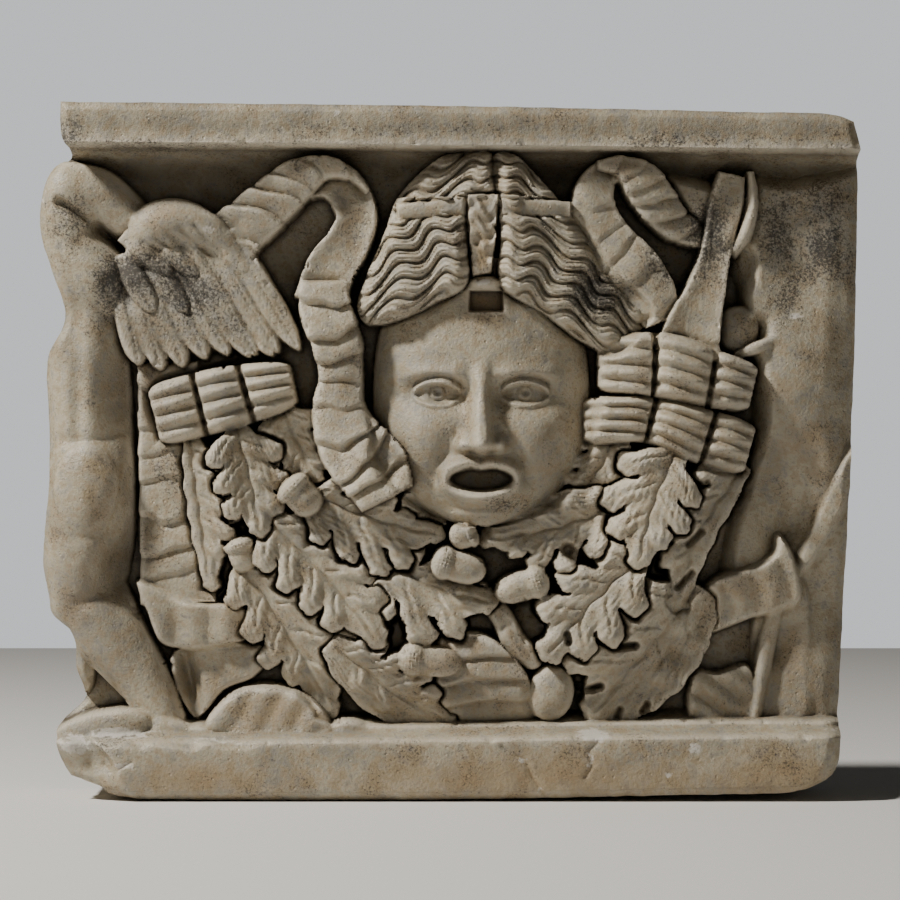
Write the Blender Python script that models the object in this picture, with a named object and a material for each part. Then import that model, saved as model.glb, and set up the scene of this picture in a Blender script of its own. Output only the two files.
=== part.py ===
"""Marble relief slab: a garland of oak leaves, a stage mask and ribbons between two broken figures.

The front is a drawing board in millimetres, x to the right and z up from the slab's middle. Each form is
laid on it as a height above the relief's ground. The slab is then the board's mesh, closed by its sides and
a flat back.
"""
import math

import bpy
import bmesh
import numpy as np

COLLECTION = "Marble relief slab"
NODE = "relief_slab"

# Overall sizes in metres
SLAB_WIDTH = 0.578
SLAB_HEIGHT = 0.487
GROUND_THICKNESS = 0.052

# The drawing board, and metres for each of its millimetres of rise
BOARD_WIDTH = 578
BOARD_HEIGHT = 487
RELIEF_SCALE = 0.001
GRID_STEP = 2.4
TRIANGLES = 9600

# Rises above the ground, in millimetres
FASCIA_RISE = 62
BASE_RISE = 66
MASS_RISE = 36
WING_RISE = 36
MASK_RISE = 54
DRILL_DEPTH = 4

# The mask's face: its middle, chin, half width and height
FACE_MIDDLE = 22
FACE_CHIN = -54
FACE_HALF = 77
FACE_HEIGHT = 159
MOUTH_DEPTH = 24
# The dowel socket in its brow: middle, half width and half height
SOCKET = (25.5, 104.5, 12.5, 7.5)
SOCKET_DEPTH = 15
LOCK_PITCH = 12
LOCK_WAVE = 4.6
LOCK_CURL = 4.9
# A leaf's teeth as a share of a lobe's radius, its fine veins, and a pitch that leaves a ribbon plain
TOOTH = 0.06
VEINS = 110
PLAIN = 400

# Stations of x, z, half width and crest along the garland and the rolls
SWAG = [(-176, 30, 40, 30), (-165, -30, 44, 34), (-128, -92, 48, 36), (-62, -130, 50, 36),
        (12, -142, 50, 34), (78, -130, 50, 36), (130, -98, 50, 36), (160, -45, 46, 36), (160, 10, 44, 34)]
LEFT_ROLL = [(-209, 24, 22, 46), (-160, 36, 23, 52), (-110, 47, 17, 50)]
RIGHT_LOW_ROLL = [(94, 21, 17, 52), (140, 21, 17, 57), (180, 9, 20, 56), (212, 0, 19, 48)]
RIGHT_HIGH_ROLL = [(104, 60, 20, 50), (145, 60, 23, 60), (184, 50, 21, 58), (214, 43, 18, 50)]

# Leaves: base, tip, reach to the left and right of the midrib, lobes, lift and bend
LOW_LEAVES = [
    ((-196, 12), (-170, -98), (30, -12), 5, 5, 0.0),
    ((-150, -76), (-82, -189), (38, 20), 4, 8, 0.03),
    ((172, -96), (96, -190), (-34, 44), 5, 17, 0.0),
    ((206, -14), (158, -112), (-15, 30), 5, 6, -0.08),
]
HIGH_LEAVES = [
    ((-84, -136), (2, -194), (24, -20), 4, 13, -0.04),
    ((-118, 38), (-86, -27), (22, 30), 3, 9, 0.0),
    ((-62, -78), (32, -110), (14, 34), 4, 14, 0.06),
    ((-134, -44), (-46, -138), (31, 24), 4, 16, 0.03),
    ((-34, -32), (-2, -52), (16, 14), 2, 15, 0.0),
    ((-106, -28), (-3, -61), (14, 31), 4, 18, -0.03),
    ((-152, 20), (-132, -62), (28, 28), 3, 18, 0.02),
    ((118, 12), (86, -42), (38, 22), 3, 15, 0.02),
    ((138, -70), (66, -146), (28, 30), 4, 18, -0.02),
    ((122, -38), (19, -64), (28, -24), 4, 19, 0.04),
    ((160, 4), (132, -82), (25, 30), 4, 21, -0.04),
]
# Acorns: middle, length, radius, angle and height
ACORNS = [
    ((-13, -148), 44, 11, -6, 44),
    ((9, -60), 20, 10, 200, 42),
    ((48, -95), 36, 10, -14, 42),
    ((7, -82), 38, 11, -16, 44),
    ((-146, -74), 24, 10, -72, 42),
    ((-104, -33), 30, 12, -45, 44),
]

# Outlines of the wing, the broken figure and the mask's hair
WING = [(-222, 142), (-218, 166), (-202, 178), (-184, 175), (-164, 163), (-144, 146), (-128, 124),
        (-118, 100), (-106, 84), (-118, 76), (-140, 72), (-160, 70), (-190, 68), (-226, 68), (-230, 100),
        (-228, 128)]
RIGHT_MASS = [(152, 196), (168, 196), (187, 191), (205, 192), (213, 197), (226, 194), (244, 193),
              (264, 197), (330, 200), (330, 0), (330, -200), (250, -197),
              (214, -196), (216, -150), (238, -118), (196, -96), (194, -62),
              (206, -22), (216, 20), (214, 46), (207, 66), (195, 74), (192, 90), (203, 99), (197, 125),
              (194, 142), (176, 148), (160, 165), (150, 180)]
HAIR_LEFT = [(32, 207), (6, 209), (-12, 203), (-36, 180), (-47, 152), (-58, 126), (-66, 102), (-58, 88),
             (-36, 91), (-10, 103), (12, 117), (13, 150), (18, 175), (33, 180)]
HAIR_RIGHT = [(31, 207), (48, 206), (70, 184), (84, 166), (100, 142), (120, 118), (140, 98), (130, 78),
              (112, 68), (90, 78), (64, 97), (36, 115), (35, 150), (33, 176)]
# The slab's edges: left and right by height, bottom and top by place across
LEFT_EDGE = [(-244, -266), (-228, -273), (-212, -276), (-199, -275), (-180, -259), (-157, -264),
             (-132, -266), (-118, -281), (-105, -283), (-75, -287), (-30, -283), (0, -283), (45, -285),
             (66, -284), (82, -275), (96, -271), (112, -275), (128, -281), (147, -287), (165, -289),
             (187, -285), (200, -278), (208, -267), (222, -272), (244, -272)]
RIGHT_EDGE = [(-244, 263), (-239, 268), (-230, 271.5), (-215, 273), (-150, 277), (-60, 281), (60, 285.5),
              (175, 287.5), (215, 287.5), (244, 282)]
BOTTOM_EDGE = [(-289, -228), (-262, -234), (-225, -243), (0, -243.5), (130, -241), (240, -239), (262, -237),
               (276, -234), (289, -230)]
TOP_EDGE = [(-289, 243), (0, 240), (200, 236), (268, 234.5), (289, 229)]
EDGE_WEAR = 3


def smooth(low, high, value):
    """0 below low, 1 above high, and an S between them."""
    share = np.clip((value - low) / (high - low), 0.0, 1.0)
    return share * share * (3.0 - 2.0 * share)


def dome(value):
    """A round hump: 1 at 0, and 0 from 1 outwards."""
    return np.sqrt(np.clip(1.0 - value * value, 0.0, None))


def bell(value):
    return np.exp(-value * value)


def soft_max(a, b, blend):
    overlap = np.clip(1.0 - np.abs(a - b) / blend, 0.0, None)
    return np.maximum(a, b) + blend * 0.25 * overlap * overlap


def pleat(phase):
    """A rounded rise and a quick fall, once for each whole number."""
    part = (phase - np.floor(phase)) / 0.86
    return np.where(part < 1, 0.4 * part + 0.6 * dome(1 - part), 1 - smooth(1, 1.16, part))


def flute(phase):
    """Round ridges with narrow grooves between, one for each whole number."""
    return np.sqrt(np.sin(math.pi * phase) ** 2 + 0.02)


def weave(rows, steps):
    """A smooth Catmull-Rom curve through the middle rows, each row any list of numbers."""
    t = np.linspace(0.0, 1.0, steps, endpoint=False)[:, None]
    parts = []
    for a, b, c, d in zip(rows, rows[1:], rows[2:], rows[3:]):
        parts.append(b + 0.5 * t * (c - a + t * (2 * a - 5 * b + 4 * c - d + t * (3 * b - a - 3 * c + d))))
    return np.vstack(parts)


def open_curve(stations, steps=14):
    rows = np.array(stations, float)
    ends = np.vstack([2 * rows[0] - rows[1], rows, 2 * rows[-1] - rows[-2]])
    return np.vstack([weave(ends, steps), rows[-1:]])


def closed_curve(points, steps=6):
    rows = np.array(points, float)
    return weave(np.vstack([rows[-1:], rows, rows[:2]]), steps)


def straight(start, end, steps=24):
    return np.linspace(np.array(start, float), np.array(end, float), steps)


def turned(x, z, centre, half, angle):
    """Places in the frame of an ellipse with its centre, half sizes and angle in degrees."""
    c, s = math.cos(math.radians(angle)), math.sin(math.radians(angle))
    dx, dz = x - centre[0], z - centre[1]
    return (dx * c + dz * s) / half[0], (dz * c - dx * s) / half[1]


def inside_of(outline, x, z):
    """Distance in from the edge of a closed outline, negative outside it."""
    nearest = np.full(x.shape, 1e9)
    odd = np.zeros(x.shape, bool)
    for (ax, az), (bx, bz) in zip(outline, np.roll(outline, -1, axis=0)):
        ex, ez = bx - ax, bz - az
        t = np.clip(((x - ax) * ex + (z - az) * ez) / max(ex * ex + ez * ez, 1e-9), 0, 1)
        nearest = np.minimum(nearest, np.hypot(x - ax - t * ex, z - az - t * ez))
        if abs(ez) > 1e-9:
            odd ^= ((az > z) != (bz > z)) & (x < ex * (z - az) / ez + ax)
    return np.where(odd, nearest, -nearest)


class Beside:
    """Where points lie beside a curve: how far along it, how far off it, and its other numbers there."""

    def __init__(self, curve, x, z):
        line = curve[:, :2]
        along = np.gradient(line, axis=0)
        along /= np.linalg.norm(along, axis=1)[:, None]
        travelled = np.concatenate([[0], np.cumsum(np.linalg.norm(np.diff(line, axis=0), axis=1))])
        nearest = ((x[:, None] - line[:, 0]) ** 2 + (z[:, None] - line[:, 1]) ** 2).argmin(1)
        dx, dz = x - line[nearest, 0], z - line[nearest, 1]
        tx, tz = along[nearest].T
        self.length = travelled[-1]
        self.run = travelled[nearest] + dx * tx + dz * tz
        self.off = dz * tx - dx * tz
        self.past = np.maximum(np.maximum(-self.run, self.run - self.length), 0)
        self.values = [np.interp(self.run, travelled, curve[:, k]) for k in range(2, curve.shape[1])]


class Board:
    """The height of the carved face above its ground, at many places."""

    def __init__(self, x, z):
        self.x, self.z = x, z
        self.height = np.zeros_like(x)

    def near(self, points, reach):
        low, high = np.min(points, axis=0)[:2] - reach, np.max(points, axis=0)[:2] + reach
        across = (self.x > low[0]) & (self.x < high[0])
        index = np.flatnonzero(across & (self.z > low[1]) & (self.z < high[1]))
        return index, self.x[index], self.z[index]

    def lay(self, index, surface, inside, edge=1.8, moat=0.0, width=4.0, floor=-DRILL_DEPTH, over=False):
        """Lays a surface on what is there, or over all of it, inside its edge. A moat is drilled round it."""
        under = self.height[index]
        if moat:
            ring = bell(np.clip(-inside, 0.0, None) / width)
            under = np.maximum(under - moat * ring, np.minimum(under, floor))
        laid = under + (surface - under) * smooth(-edge / 2, edge / 2, inside)
        self.height[index] = np.where(inside > -edge, laid if over else np.maximum(under, laid), under)

    def grow(self, index, surface, inside, blend=8.0, edge=2.0):
        """Like lay, but grown together with what is there by a soft fillet."""
        under = self.height[index]
        cover = smooth(-edge / 2, edge / 2, inside)
        self.height[index] = under + (soft_max(under, surface, blend) - under) * cover


def ribbon(board, stations, pitch, depth, crown=2.0, moat=6.0, turn=0.0, bow=0.12, over=True):
    """A pleated ribbon through stations of x, z, half width and height."""
    curve = open_curve(stations)
    index, x, z = board.near(curve, curve[:, 2].max() + 12)
    b = Beside(curve, x, z)
    half, level = b.values
    across = np.clip(b.off / half, -1.2, 1.2)
    wave = pleat((b.run + turn * b.off) / pitch + bow * across**2)
    inside = half - np.abs(b.off) + 0.16 * depth * (wave - 0.6)
    inside = np.minimum(inside, np.minimum(b.run, b.length - b.run) + 0.5)
    surface = level + crown * (1 - across**2) + depth * (wave - 0.5)
    board.lay(index, surface - 1.4 * (1 - smooth(0, 3, inside)), inside, moat=moat, over=over)


def limb(board, stations, blend=8.0, cap=1.0):
    """A rounded limb through stations of x, z, radius and crest height; cap shortens its round ends."""
    curve = open_curve(stations)
    index, x, z = board.near(curve, curve[:, 2].max() + 4)
    b = Beside(curve, x, z)
    radius, crest = b.values
    away = np.hypot(b.off, b.past * cap) / radius
    board.grow(index, crest - radius * (1 - dome(np.clip(away, 0, 1))), (1 - away) * radius, blend)


def boss(board, centre, half, level, rise, angle=0.0, blend=4.0, moat=0.0):
    """An oval lump with this height at its rim and this rise at its middle."""
    index, x, z = board.near(np.array([centre]), max(half) + 8)
    away = np.hypot(*turned(x, z, centre, half, angle))
    surface, inside = level + rise * dome(np.clip(away, 0, 1)), (1 - away) * min(half)
    if moat:
        board.lay(index, surface, inside, moat=moat)
    else:
        board.grow(index, surface, inside, blend)


def pit(board, centre, half, depth, angle=0.0):
    """A soft hollow."""
    index, x, z = board.near(np.array([centre]), 2.4 * max(half))
    board.height[index] -= depth * bell(np.hypot(*turned(x, z, centre, half, angle)))


def slot(board, path, half_width, depth, soft=2.0):
    """A drilled channel along a path."""
    curve = open_curve(path)
    index, x, z = board.near(curve, half_width + soft + 3)
    b = Beside(curve, x, z)
    away = np.hypot(b.off, b.past)
    board.height[index] -= depth * (1 - smooth(half_width - soft / 2, half_width + soft, away))


def patch(board, outline, level, ridges=(20.0, 0.0, 0.0), tip=(0.0, 0.0), moat=5.0, edge=2.5):
    """A flat piece in an outline. Ridges are pitch, depth and angle; tip is its rise right and up."""
    curve = closed_curve(outline)
    index, x, z = board.near(curve, 10)
    pitch, depth, angle = ridges
    middle = curve.mean(axis=0)
    across = x * math.cos(math.radians(angle)) + z * math.sin(math.radians(angle))
    inside = inside_of(curve, x, z)
    along = z * math.cos(math.radians(angle)) - x * math.sin(math.radians(angle))
    phase = across / pitch + 0.10 * np.sin(along / 9)
    fold = 0.4 * pleat(phase) - 0.6 * np.cos(2 * math.pi * phase)
    surface = level + depth * (fold - 0.2) - 1.5 * (1 - smooth(0, 5, inside))
    surface += tip[0] * (x - middle[0]) / 30 + tip[1] * (z - middle[1]) / 30
    board.lay(index, surface, inside, edge=edge, moat=moat)


def swag_bed(x, z):
    """The rounded rope of leaves that the garland lies on, and the distance in from its edge."""
    b = Beside(open_curve(SWAG), x, z)
    half, crest = b.values
    return crest * dome(np.clip(b.off / (half * 1.12), -1, 1)) ** 0.8, half - np.abs(b.off)


def oak_leaf(board, base, tip, widths, lobes=4, lift=12.0, bend=0.0, curl=3.0, moat=18.0):
    """A lobed leaf. Widths are its reach left and right of its midrib; a negative one has no lobes."""
    base, tip = np.array(base, float), np.array(tip, float)
    middle = (base + tip) / 2 + bend * np.array([-(tip - base)[1], (tip - base)[0]])
    curve = open_curve([base, middle, tip], steps=24)
    index, x, z = board.near(curve, max(np.abs(widths)) + 12)
    b = Beside(curve, x + 0.7 * np.sin(z / 2.9 + x / 13), z + 0.7 * np.sin(x / 3.3 + z / 17))
    run, off, length = b.run, b.off, b.length
    share = run / length
    width = np.where(off > 0, *[0.54 * reach if reach > 0 else -reach for reach in widths])
    inside = width * dome(np.clip(2 * share - 0.92, -1, 1)) - np.abs(off)
    inside = np.minimum(inside, np.minimum(run, length - run))
    rise = np.zeros(x.shape)
    vein = bell(off / 1.4) * smooth(0.98, 0.86, share)
    for start, end_run, reach, radius in leaf_lobes(length, widths, lobes):
        # a finger from the midrib to the lobe's end, which has three blunt teeth
        ex, ez = end_run - start, reach
        part = np.clip(((run - start) * ex + off * ez) / (ex * ex + ez * ez), 0, 1)
        away = np.hypot(run - start - part * ex, off - part * ez)
        turn = np.arctan2((off - reach) * ex - (run - end_run) * ez, (run - end_run) * ex + (off - reach) * ez)
        teeth = TOOTH * (np.cos(5 * turn) - 0.3) * smooth(0.9, 1.0, part)
        size = radius * (0.64 + 0.36 * part + teeth)
        inside = np.maximum(inside, size - away)
        finger = np.clip(1 - (away / size) ** 2, 0, 1) * smooth(0, 0.9, part)
        rise = np.maximum(rise, finger * (3.0 + 0.4 * np.cos(2 * away) * (1 - part**4)))
        vein = np.maximum(vein, 0.8 * bell(away / 1.2) * smooth(0.02, 0.2, part) * smooth(1.0, 0.8, part))
    bed = np.maximum(swag_bed(x, z)[0], 20)
    ripple = 1.4 * np.sin(run / 7 + off / 9) * np.clip(np.abs(off) / 20, 0, 1)
    ripple += 0.6 * np.cos(VEINS * off / (run + 30)) * smooth(3, 9, np.abs(off))
    fold = 2.6 * (1 - bell(off / 8)) * (1 - share)
    surface = bed + lift + rise + ripple + fold - curl * share**2 - 1.8 * vein
    board.lay(index, surface - 0.8 * (1 - smooth(0, 1.5, inside)), inside, edge=1.0, moat=moat, width=2.4)


def leaf_lobes(length, widths, lobes):
    """The end lobe, then each side lobe: its start along the midrib, its end, its reach and its radius."""
    radius = length * 0.30 / lobes
    found = [(length * 0.6, length - radius, 0.0, radius)]
    for side, width in ((1, widths[0]), (-1, widths[1])):
        for k in range(round(lobes)):
            place = (k + 0.25 + 0.3 * (side > 0)) / lobes
            uneven = 1 + 0.09 * math.sin(5 * k + 3 * side + length)
            reach = uneven * abs(width) * (1.08 - 0.75 * (place - 0.42) ** 2 - 0.5 * place**6) - radius
            reach *= 1.0 if width > 0 else 0.7
            if reach > radius * 0.4:
                start = length * (0.0 + 0.72 * place)
                end_run = min(start + 0.62 * reach + 0.05 * length, length - radius)
                found.append((start, end_run, side * reach, radius))
    return found


def acorn(board, centre, length, radius, angle, level, cup=0.42, moat=8.0):
    """A nut in its cup, pointing along an angle in degrees."""
    index, x, z = board.near(np.array([centre]), length)
    u, v = turned(x, z, centre, (1.0, 1.0), angle)
    nut = np.hypot(u / (length / 2), v / radius)
    board.lay(index, level + radius * dome(np.clip(nut, 0, 1)), (1 - nut) * radius, moat=moat)
    middle, brim = length * (cup - 1) / 2, length * (cup * 0.95 - 0.5)
    shell = np.hypot((u - middle) / (length * cup * 0.62), v / (radius * 1.12))
    surface = level + 1.2 + radius * 1.1 * dome(np.clip(shell, 0, 1))
    board.lay(index, surface, np.minimum((1 - shell) * radius, brim - u))


def feather(board, base, tip, half, level, drop=0.0):
    curve = straight(base, tip)
    index, x, z = board.near(curve, half + 5)
    b = Beside(curve, x, z)
    share = b.run / b.length
    outline = half * np.clip(1 - np.clip((share - 0.5) / 0.5, 0, 1) ** 2.0, 0, 1) ** 0.6
    inside = np.minimum(np.minimum(outline - np.abs(b.off), b.length - b.run), b.run + 2)
    surface = level - drop * share - 6 * (1 - smooth(0, 0.45, share)) + 2.4 * (1 - (b.off / half) ** 2)
    surface -= 0.8 * bell(b.off / 1.0) * smooth(0.1, 0.4, share) + 1.2 * (1 - smooth(0, 2.5, inside))
    surface += 0.8 * flute((b.run - 1.4 * np.abs(b.off)) / 4.5) * smooth(0.2, 0.5, share)
    board.lay(index, surface, inside, edge=1.4, moat=1.6, width=2.5, floor=6)


def roll(board, stations, slots, flutes=4, moat=10.0):
    """A bound roll through stations of x, z, half height and crest. Slots are shares of length and slants."""
    curve = open_curve(stations)
    index, x, z = board.near(curve, curve[:, 2].max() + 12)
    b = Beside(curve, x, z)
    half, level = b.values
    to_end = np.minimum(b.run, b.length - b.run)
    round_end = 0.72 + 0.28 * dome(np.clip(1 - to_end / 14, 0, 1))
    inside = np.minimum(half * round_end - np.abs(b.off), to_end)
    across = np.clip(b.off / half, -1, 1)
    surface = level - 14 * (1 - dome(across * 0.95)) - 9 * (1 - dome(np.clip(1 - to_end / 18, 0, 1)))
    wander = 0.12 * np.sin(b.run / 31 + stations[0][1]) + 0.05 * np.sin(b.run / 8)
    folds = (1 - across) / 2 * (flutes + wander)
    surface += 3.2 * flute(folds) + 3.4 * pleat(folds + 0.4) - 3.2
    for share, slant in slots:
        gap = np.abs(b.run - share * b.length - slant * b.off)
        surface -= 12 * (1 - smooth(0.8, 2.8, gap)) + 5.0 * bell(gap / 8)
    board.lay(index, surface, inside, moat=moat)


def carve_slab(board):
    """The fascia and its hollow underside, the ground, and the base with its sloping ledge."""
    x, z = board.x, board.z
    lower = 214 - 0.009 * (x + 270)
    soffit = 0.72 * FASCIA_RISE * np.clip((z - lower + 28) / 28, 0, 1) ** 2.4
    face = FASCIA_RISE - 1.6 * bell((z - lower - 9) / 6)
    top = soffit + (face - soffit) * smooth(-2.5, 1.0, z - lower)
    rise = z + 204 - 4 * smooth(-200, 250, x)
    base = (BASE_RISE - 22 * smooth(-1, 8, rise)) * smooth(17, 8, rise)
    # the lower left corner is broken away, and the lower right one worn round
    crumble = (np.sin(x / 9 + z / 23) + np.sin(z / 7 - x / 31) + np.sin((x + z) / 5.3) + np.sin((x - 2 * z) / 13)
               + 0.6 * np.sin((2 * x + z) / 6.1))
    broken = -(x + 224) - 0.6 * (z + 243) + 1.5 * crumble
    lost = np.clip(broken, 0, None) * 0.36 + (5 + 0.9 * crumble) * smooth(-2, 4, broken)
    base = np.where(z < -170, base - lost, base)
    chipped = smooth(-208, -203, z + crumble) * smooth(-120, -150, x + 3 * crumble)
    base -= np.where(z < -170, (4 + 0.5 * crumble) * chipped, 0)
    worn = np.hypot(np.clip(x - 232, 0, None), np.clip(-208 - z, 0, None))
    base -= np.where(z < -170, 12 * smooth(29, 48, worn), 0)
    board.height = np.maximum(board.height, np.maximum(top, base))


def carve_right_mass(board):
    """The worn figure at the right, which is a broken mass with the end of its gown below."""
    outline = closed_curve(RIGHT_MASS)
    index, x, z = board.near(outline, 14)
    inside = inside_of(outline, x, z)
    level = MASS_RISE + 3 * np.sin((x - 205) / 22) * np.sin((z + 10) / 36) - 9 * smooth(262, 290, x)
    level -= 9 * smooth(60, -40, z) + 6 * smooth(-70, -110, z)
    board.grow(index, level * smooth(-2, 12, inside) ** 0.7, inside + 2, blend=6, edge=4)
    slot(board, [(206, 134), (204, 118), (194, 100)], 5, 16, soft=8)
    slot(board, [(196, 70), (208, 76), (214, 88)], 2.5, 8, soft=6)
    pit(board, (216, 83), (6, 9), 15, -30)
    limb(board, [(203, 67, 3.5, 40), (216, 72, 4.5, 43), (232, 79, 2.5, 38)], blend=2)
    boss(board, (203, 85), (15, 17), MASS_RISE - 10, 12, blend=12)
    # the upright fold below it, and its bent end
    patch(board, [(216, -190), (217, -110), (250, -92), (254, -150),
                  (252, -190)], 24, tip=(6, 0), moat=0, edge=4)
    patch(board, [(290, 12), (280, -2), (262, -38), (246, -74), (241, -92), (250, -88), (266, -66), (282, -34),
                  (294, -4)], 30, (30, 0, 0), (1, 1), moat=9)
    pit(board, (238, -56), (11, 26), 12, -24)


def carve_right_gown(board):
    """The cloth that crosses below the garland's right end, and its fluted foot."""
    pit(board, (202, -142), (30, 14), 16, 8)
    patch(board, [(171, -191), (172, -158), (190, -157), (212, -153), (214, -190)], 29, (16, 2, 60), (-4, 3),
          moat=3)
    ribbon(board, [(230, -116, 4, 27), (223, -145, 4, 27), (215, -190, 3, 28)], pitch=PLAIN, depth=0, crown=5,
           moat=0, over=False)
    patch(board, [(171, -134), (174, -112), (180, -96), (192, -88), (214, -82), (228, -73), (232, -60),
                  (241, -72), (248, -98), (243, -110), (216, -118), (190, -128)], 39, (22, 1.8, 8), (-3, 5), moat=7)


def carve_boy(board):
    """The winged boy at the left, seen from behind, with his arm bent over his head."""
    boss(board, (-264, -150), (12, 24), 14, 12, 8, blend=6)
    limb(board, [(-257, 126, 33, 43), (-260, 90, 30, 39), (-257, 50, 31, 41), (-255, 10, 31, 42),
                 (-256, -26, 34, 48), (-258, -66, 34, 49), (-258, -98, 30, 44), (-246, -122, 28, 43),
                 (-231, -144, 23, 41), (-214, -168, 19, 39), (-203, -190, 16, 38)], 8)
    boss(board, (-241, 116), (15, 24), 30, 10, 30, blend=12)
    pit(board, (-265, 98), (9, 26), 5)
    pit(board, (-262, 30), (5, 44), 3)
    pit(board, (-268, -4), (22, 7), 3, 12)
    pit(board, (-252, -104), (20, 6), 3, 25)
    limb(board, [(-257, 122, 29, 41), (-268, 150, 25, 43), (-270, 178, 22, 44)], 9)
    limb(board, [(-269, 183, 21, 44), (-246, 178, 19, 42), (-222, 156, 16, 36)], 4)
    slot(board, [(-274, 174), (-258, 163), (-244, 152), (-232, 144)], 1.2, 8, soft=5)
    slot(board, [(-248, 154), (-232, 143)], 3.0, 12, soft=6)
    pit(board, (-231, 145), (6, 5), 10, -40)
    pit(board, (-231, -78), (15, 27), 17, -8)
    pit(board, (-236, 34), (13, 26), 9)
    pit(board, (-240, -176), (8, 15), 14, 24)
    boss(board, (-196, -197), (20, 9), 34, 8, -15)
    boss(board, (-246, -196), (36, 13), 40, 8, 12, blend=8)
    slot(board, [(-192, -140), (-186, -160), (-177, -188)], 1.5, 10, soft=4)


def carve_wing(board):
    """The long feathers, two rows of short ones over them, and the round front edge of the wing."""
    outline = closed_curve(WING)
    index, x, z = board.near(outline, 8)
    inside = inside_of(outline, x, z)
    hump = WING_RISE + 5 * bell((x + 190) / 40) - 5 * smooth(-150, -110, x)
    board.lay(index, hump * smooth(-3, 10, inside) ** 0.4, inside, moat=3)
    for k in range(8):
        share = k / 7
        root = (-222 + 62 * share, 116 + 34 * share)
        tip = (-217 + 102 * share, 63 + 3 * math.sin(5 * k) + 17 * share**4)
        feather(board, root, tip, 11.5 - 2 * share, WING_RISE + 1 + 2.5 * share, 1)
    for k in range(4):
        feather(board, (-226 + 17 * k, 134 + 6 * k), (-208 + 22 * k, 94 + 6 * k + 3 * math.sin(4 * k)), 11,
                WING_RISE + 3, 0.5)
    for k in range(4):
        feather(board, (-224 + 15 * k, 150 + 4 * k), (-199 + 18 * k, 121 + 3 * k), 9.5, WING_RISE + 5, 0.5)
    limb(board, [(-218, 140, 11, 42), (-208, 156, 18, 48), (-190, 160, 17, 49), (-168, 151, 13, 47),
                 (-148, 134, 9, 44), (-132, 112, 6, 42), (-114, 85, 4, 38)], blend=8)
    for k in range(5):
        slot(board, [(-216 + 9 * k, 146 + 3 * k), (-203 + 11 * k, 140 - k)], 0.6, 1.6, soft=2)
    for k in range(2):
        slot(board, [(-182 - 9 * k, 156 - 8 * k), (-158 - 9 * k, 136 - 8 * k), (-136 - 9 * k, 108 - 6 * k),
                     (-120 - 10 * k, 84 - 4 * k)], 0.7, 2.6, soft=2)


def carve_left_gown(board):
    """The pleated ends of cloth between the boy and the garland, and on the base."""
    ribbon(board, [(-204, 62, 20, 22), (-203, 0, 19, 26), (-200, -50, 20, 28), (-196, -100, 24, 28)],
           pitch=19, depth=5, crown=0, moat=0)
    patch(board, [(-196, -142), (-182, -190), (-160, -170), (-138, -160),
                  (-128, -138)], 26, tip=(3, 0), moat=0)
    pit(board, (-184, -164), (6, 26), 16, 12)
    patch(board, [(-222, -92), (-205, -98), (-186, -106), (-165, -107), (-150, -107), (-138, -118),
                  (-136, -132), (-160, -138), (-185, -141), (-205, -136), (-215, -114)],
          37, (24, 1.8, 12), (2, 5), moat=6)
    patch(board, [(-172, -194), (-165, -180), (-150, -168), (-130, -165), (-106, -169), (-91, -179), (-84, -191),
                  (-90, -203), (-150, -204)], 44, (17, 1.8, 146), (2, -3), moat=6)
    boss(board, (-72, -196), (14, 8), 40, 7, blend=3)


def carve_garland(board):
    """Oak leaves and acorns on the rope of the garland, from the lowest layer to the highest."""
    curve = open_curve(SWAG)
    index, x, z = board.near(curve, 56)
    level, inside = swag_bed(x, z)
    board.lay(index, level - 14, inside, edge=4)
    for base, tip, widths, lobes, lift, bend in LOW_LEAVES:
        oak_leaf(board, base, tip, widths, lobes, lift, bend, moat=4)
    carve_band(board)
    limb(board, [(30, -108, 5, 44), (44, -136, 6, 46), (60, -152, 7, 46)], 2)
    boss(board, (68, -171), (13, 18), 34, 9, -12, moat=6)
    for base, tip, widths, lobes, lift, bend in HIGH_LEAVES:
        oak_leaf(board, base, tip, widths, lobes, lift, bend)
    for centre, length, radius, angle, level in ACORNS:
        acorn(board, centre, length, radius, angle, level, moat=4)


def carve_band(board):
    """The cloth band round the lowest part of the garland."""
    outline = np.array([(-24, -150), (8, -146), (27, -131), (57, -160), (59, -190), (6, -192),
                        (-26, -186)], float)
    index, x, z = board.near(outline, 8)
    inside = inside_of(outline, x, z)
    bed = swag_bed(x, z)[0]
    upper = z + 162 - 0.12 * (x - 30)
    surface = bed + 9 + 3.5 * smooth(-3, 3, upper) - 0.10 * np.abs(x - 22) - 3.5 * bell((upper + 12) / 9)
    surface += 1.5 * np.cos((z + 0.15 * x + 4 * np.sin(x / 22)) / 2.1) * smooth(0, 40, 60 - x)
    board.lay(index, surface - 1.5 * (1 - smooth(0, 4, inside)), inside, moat=8)


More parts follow.
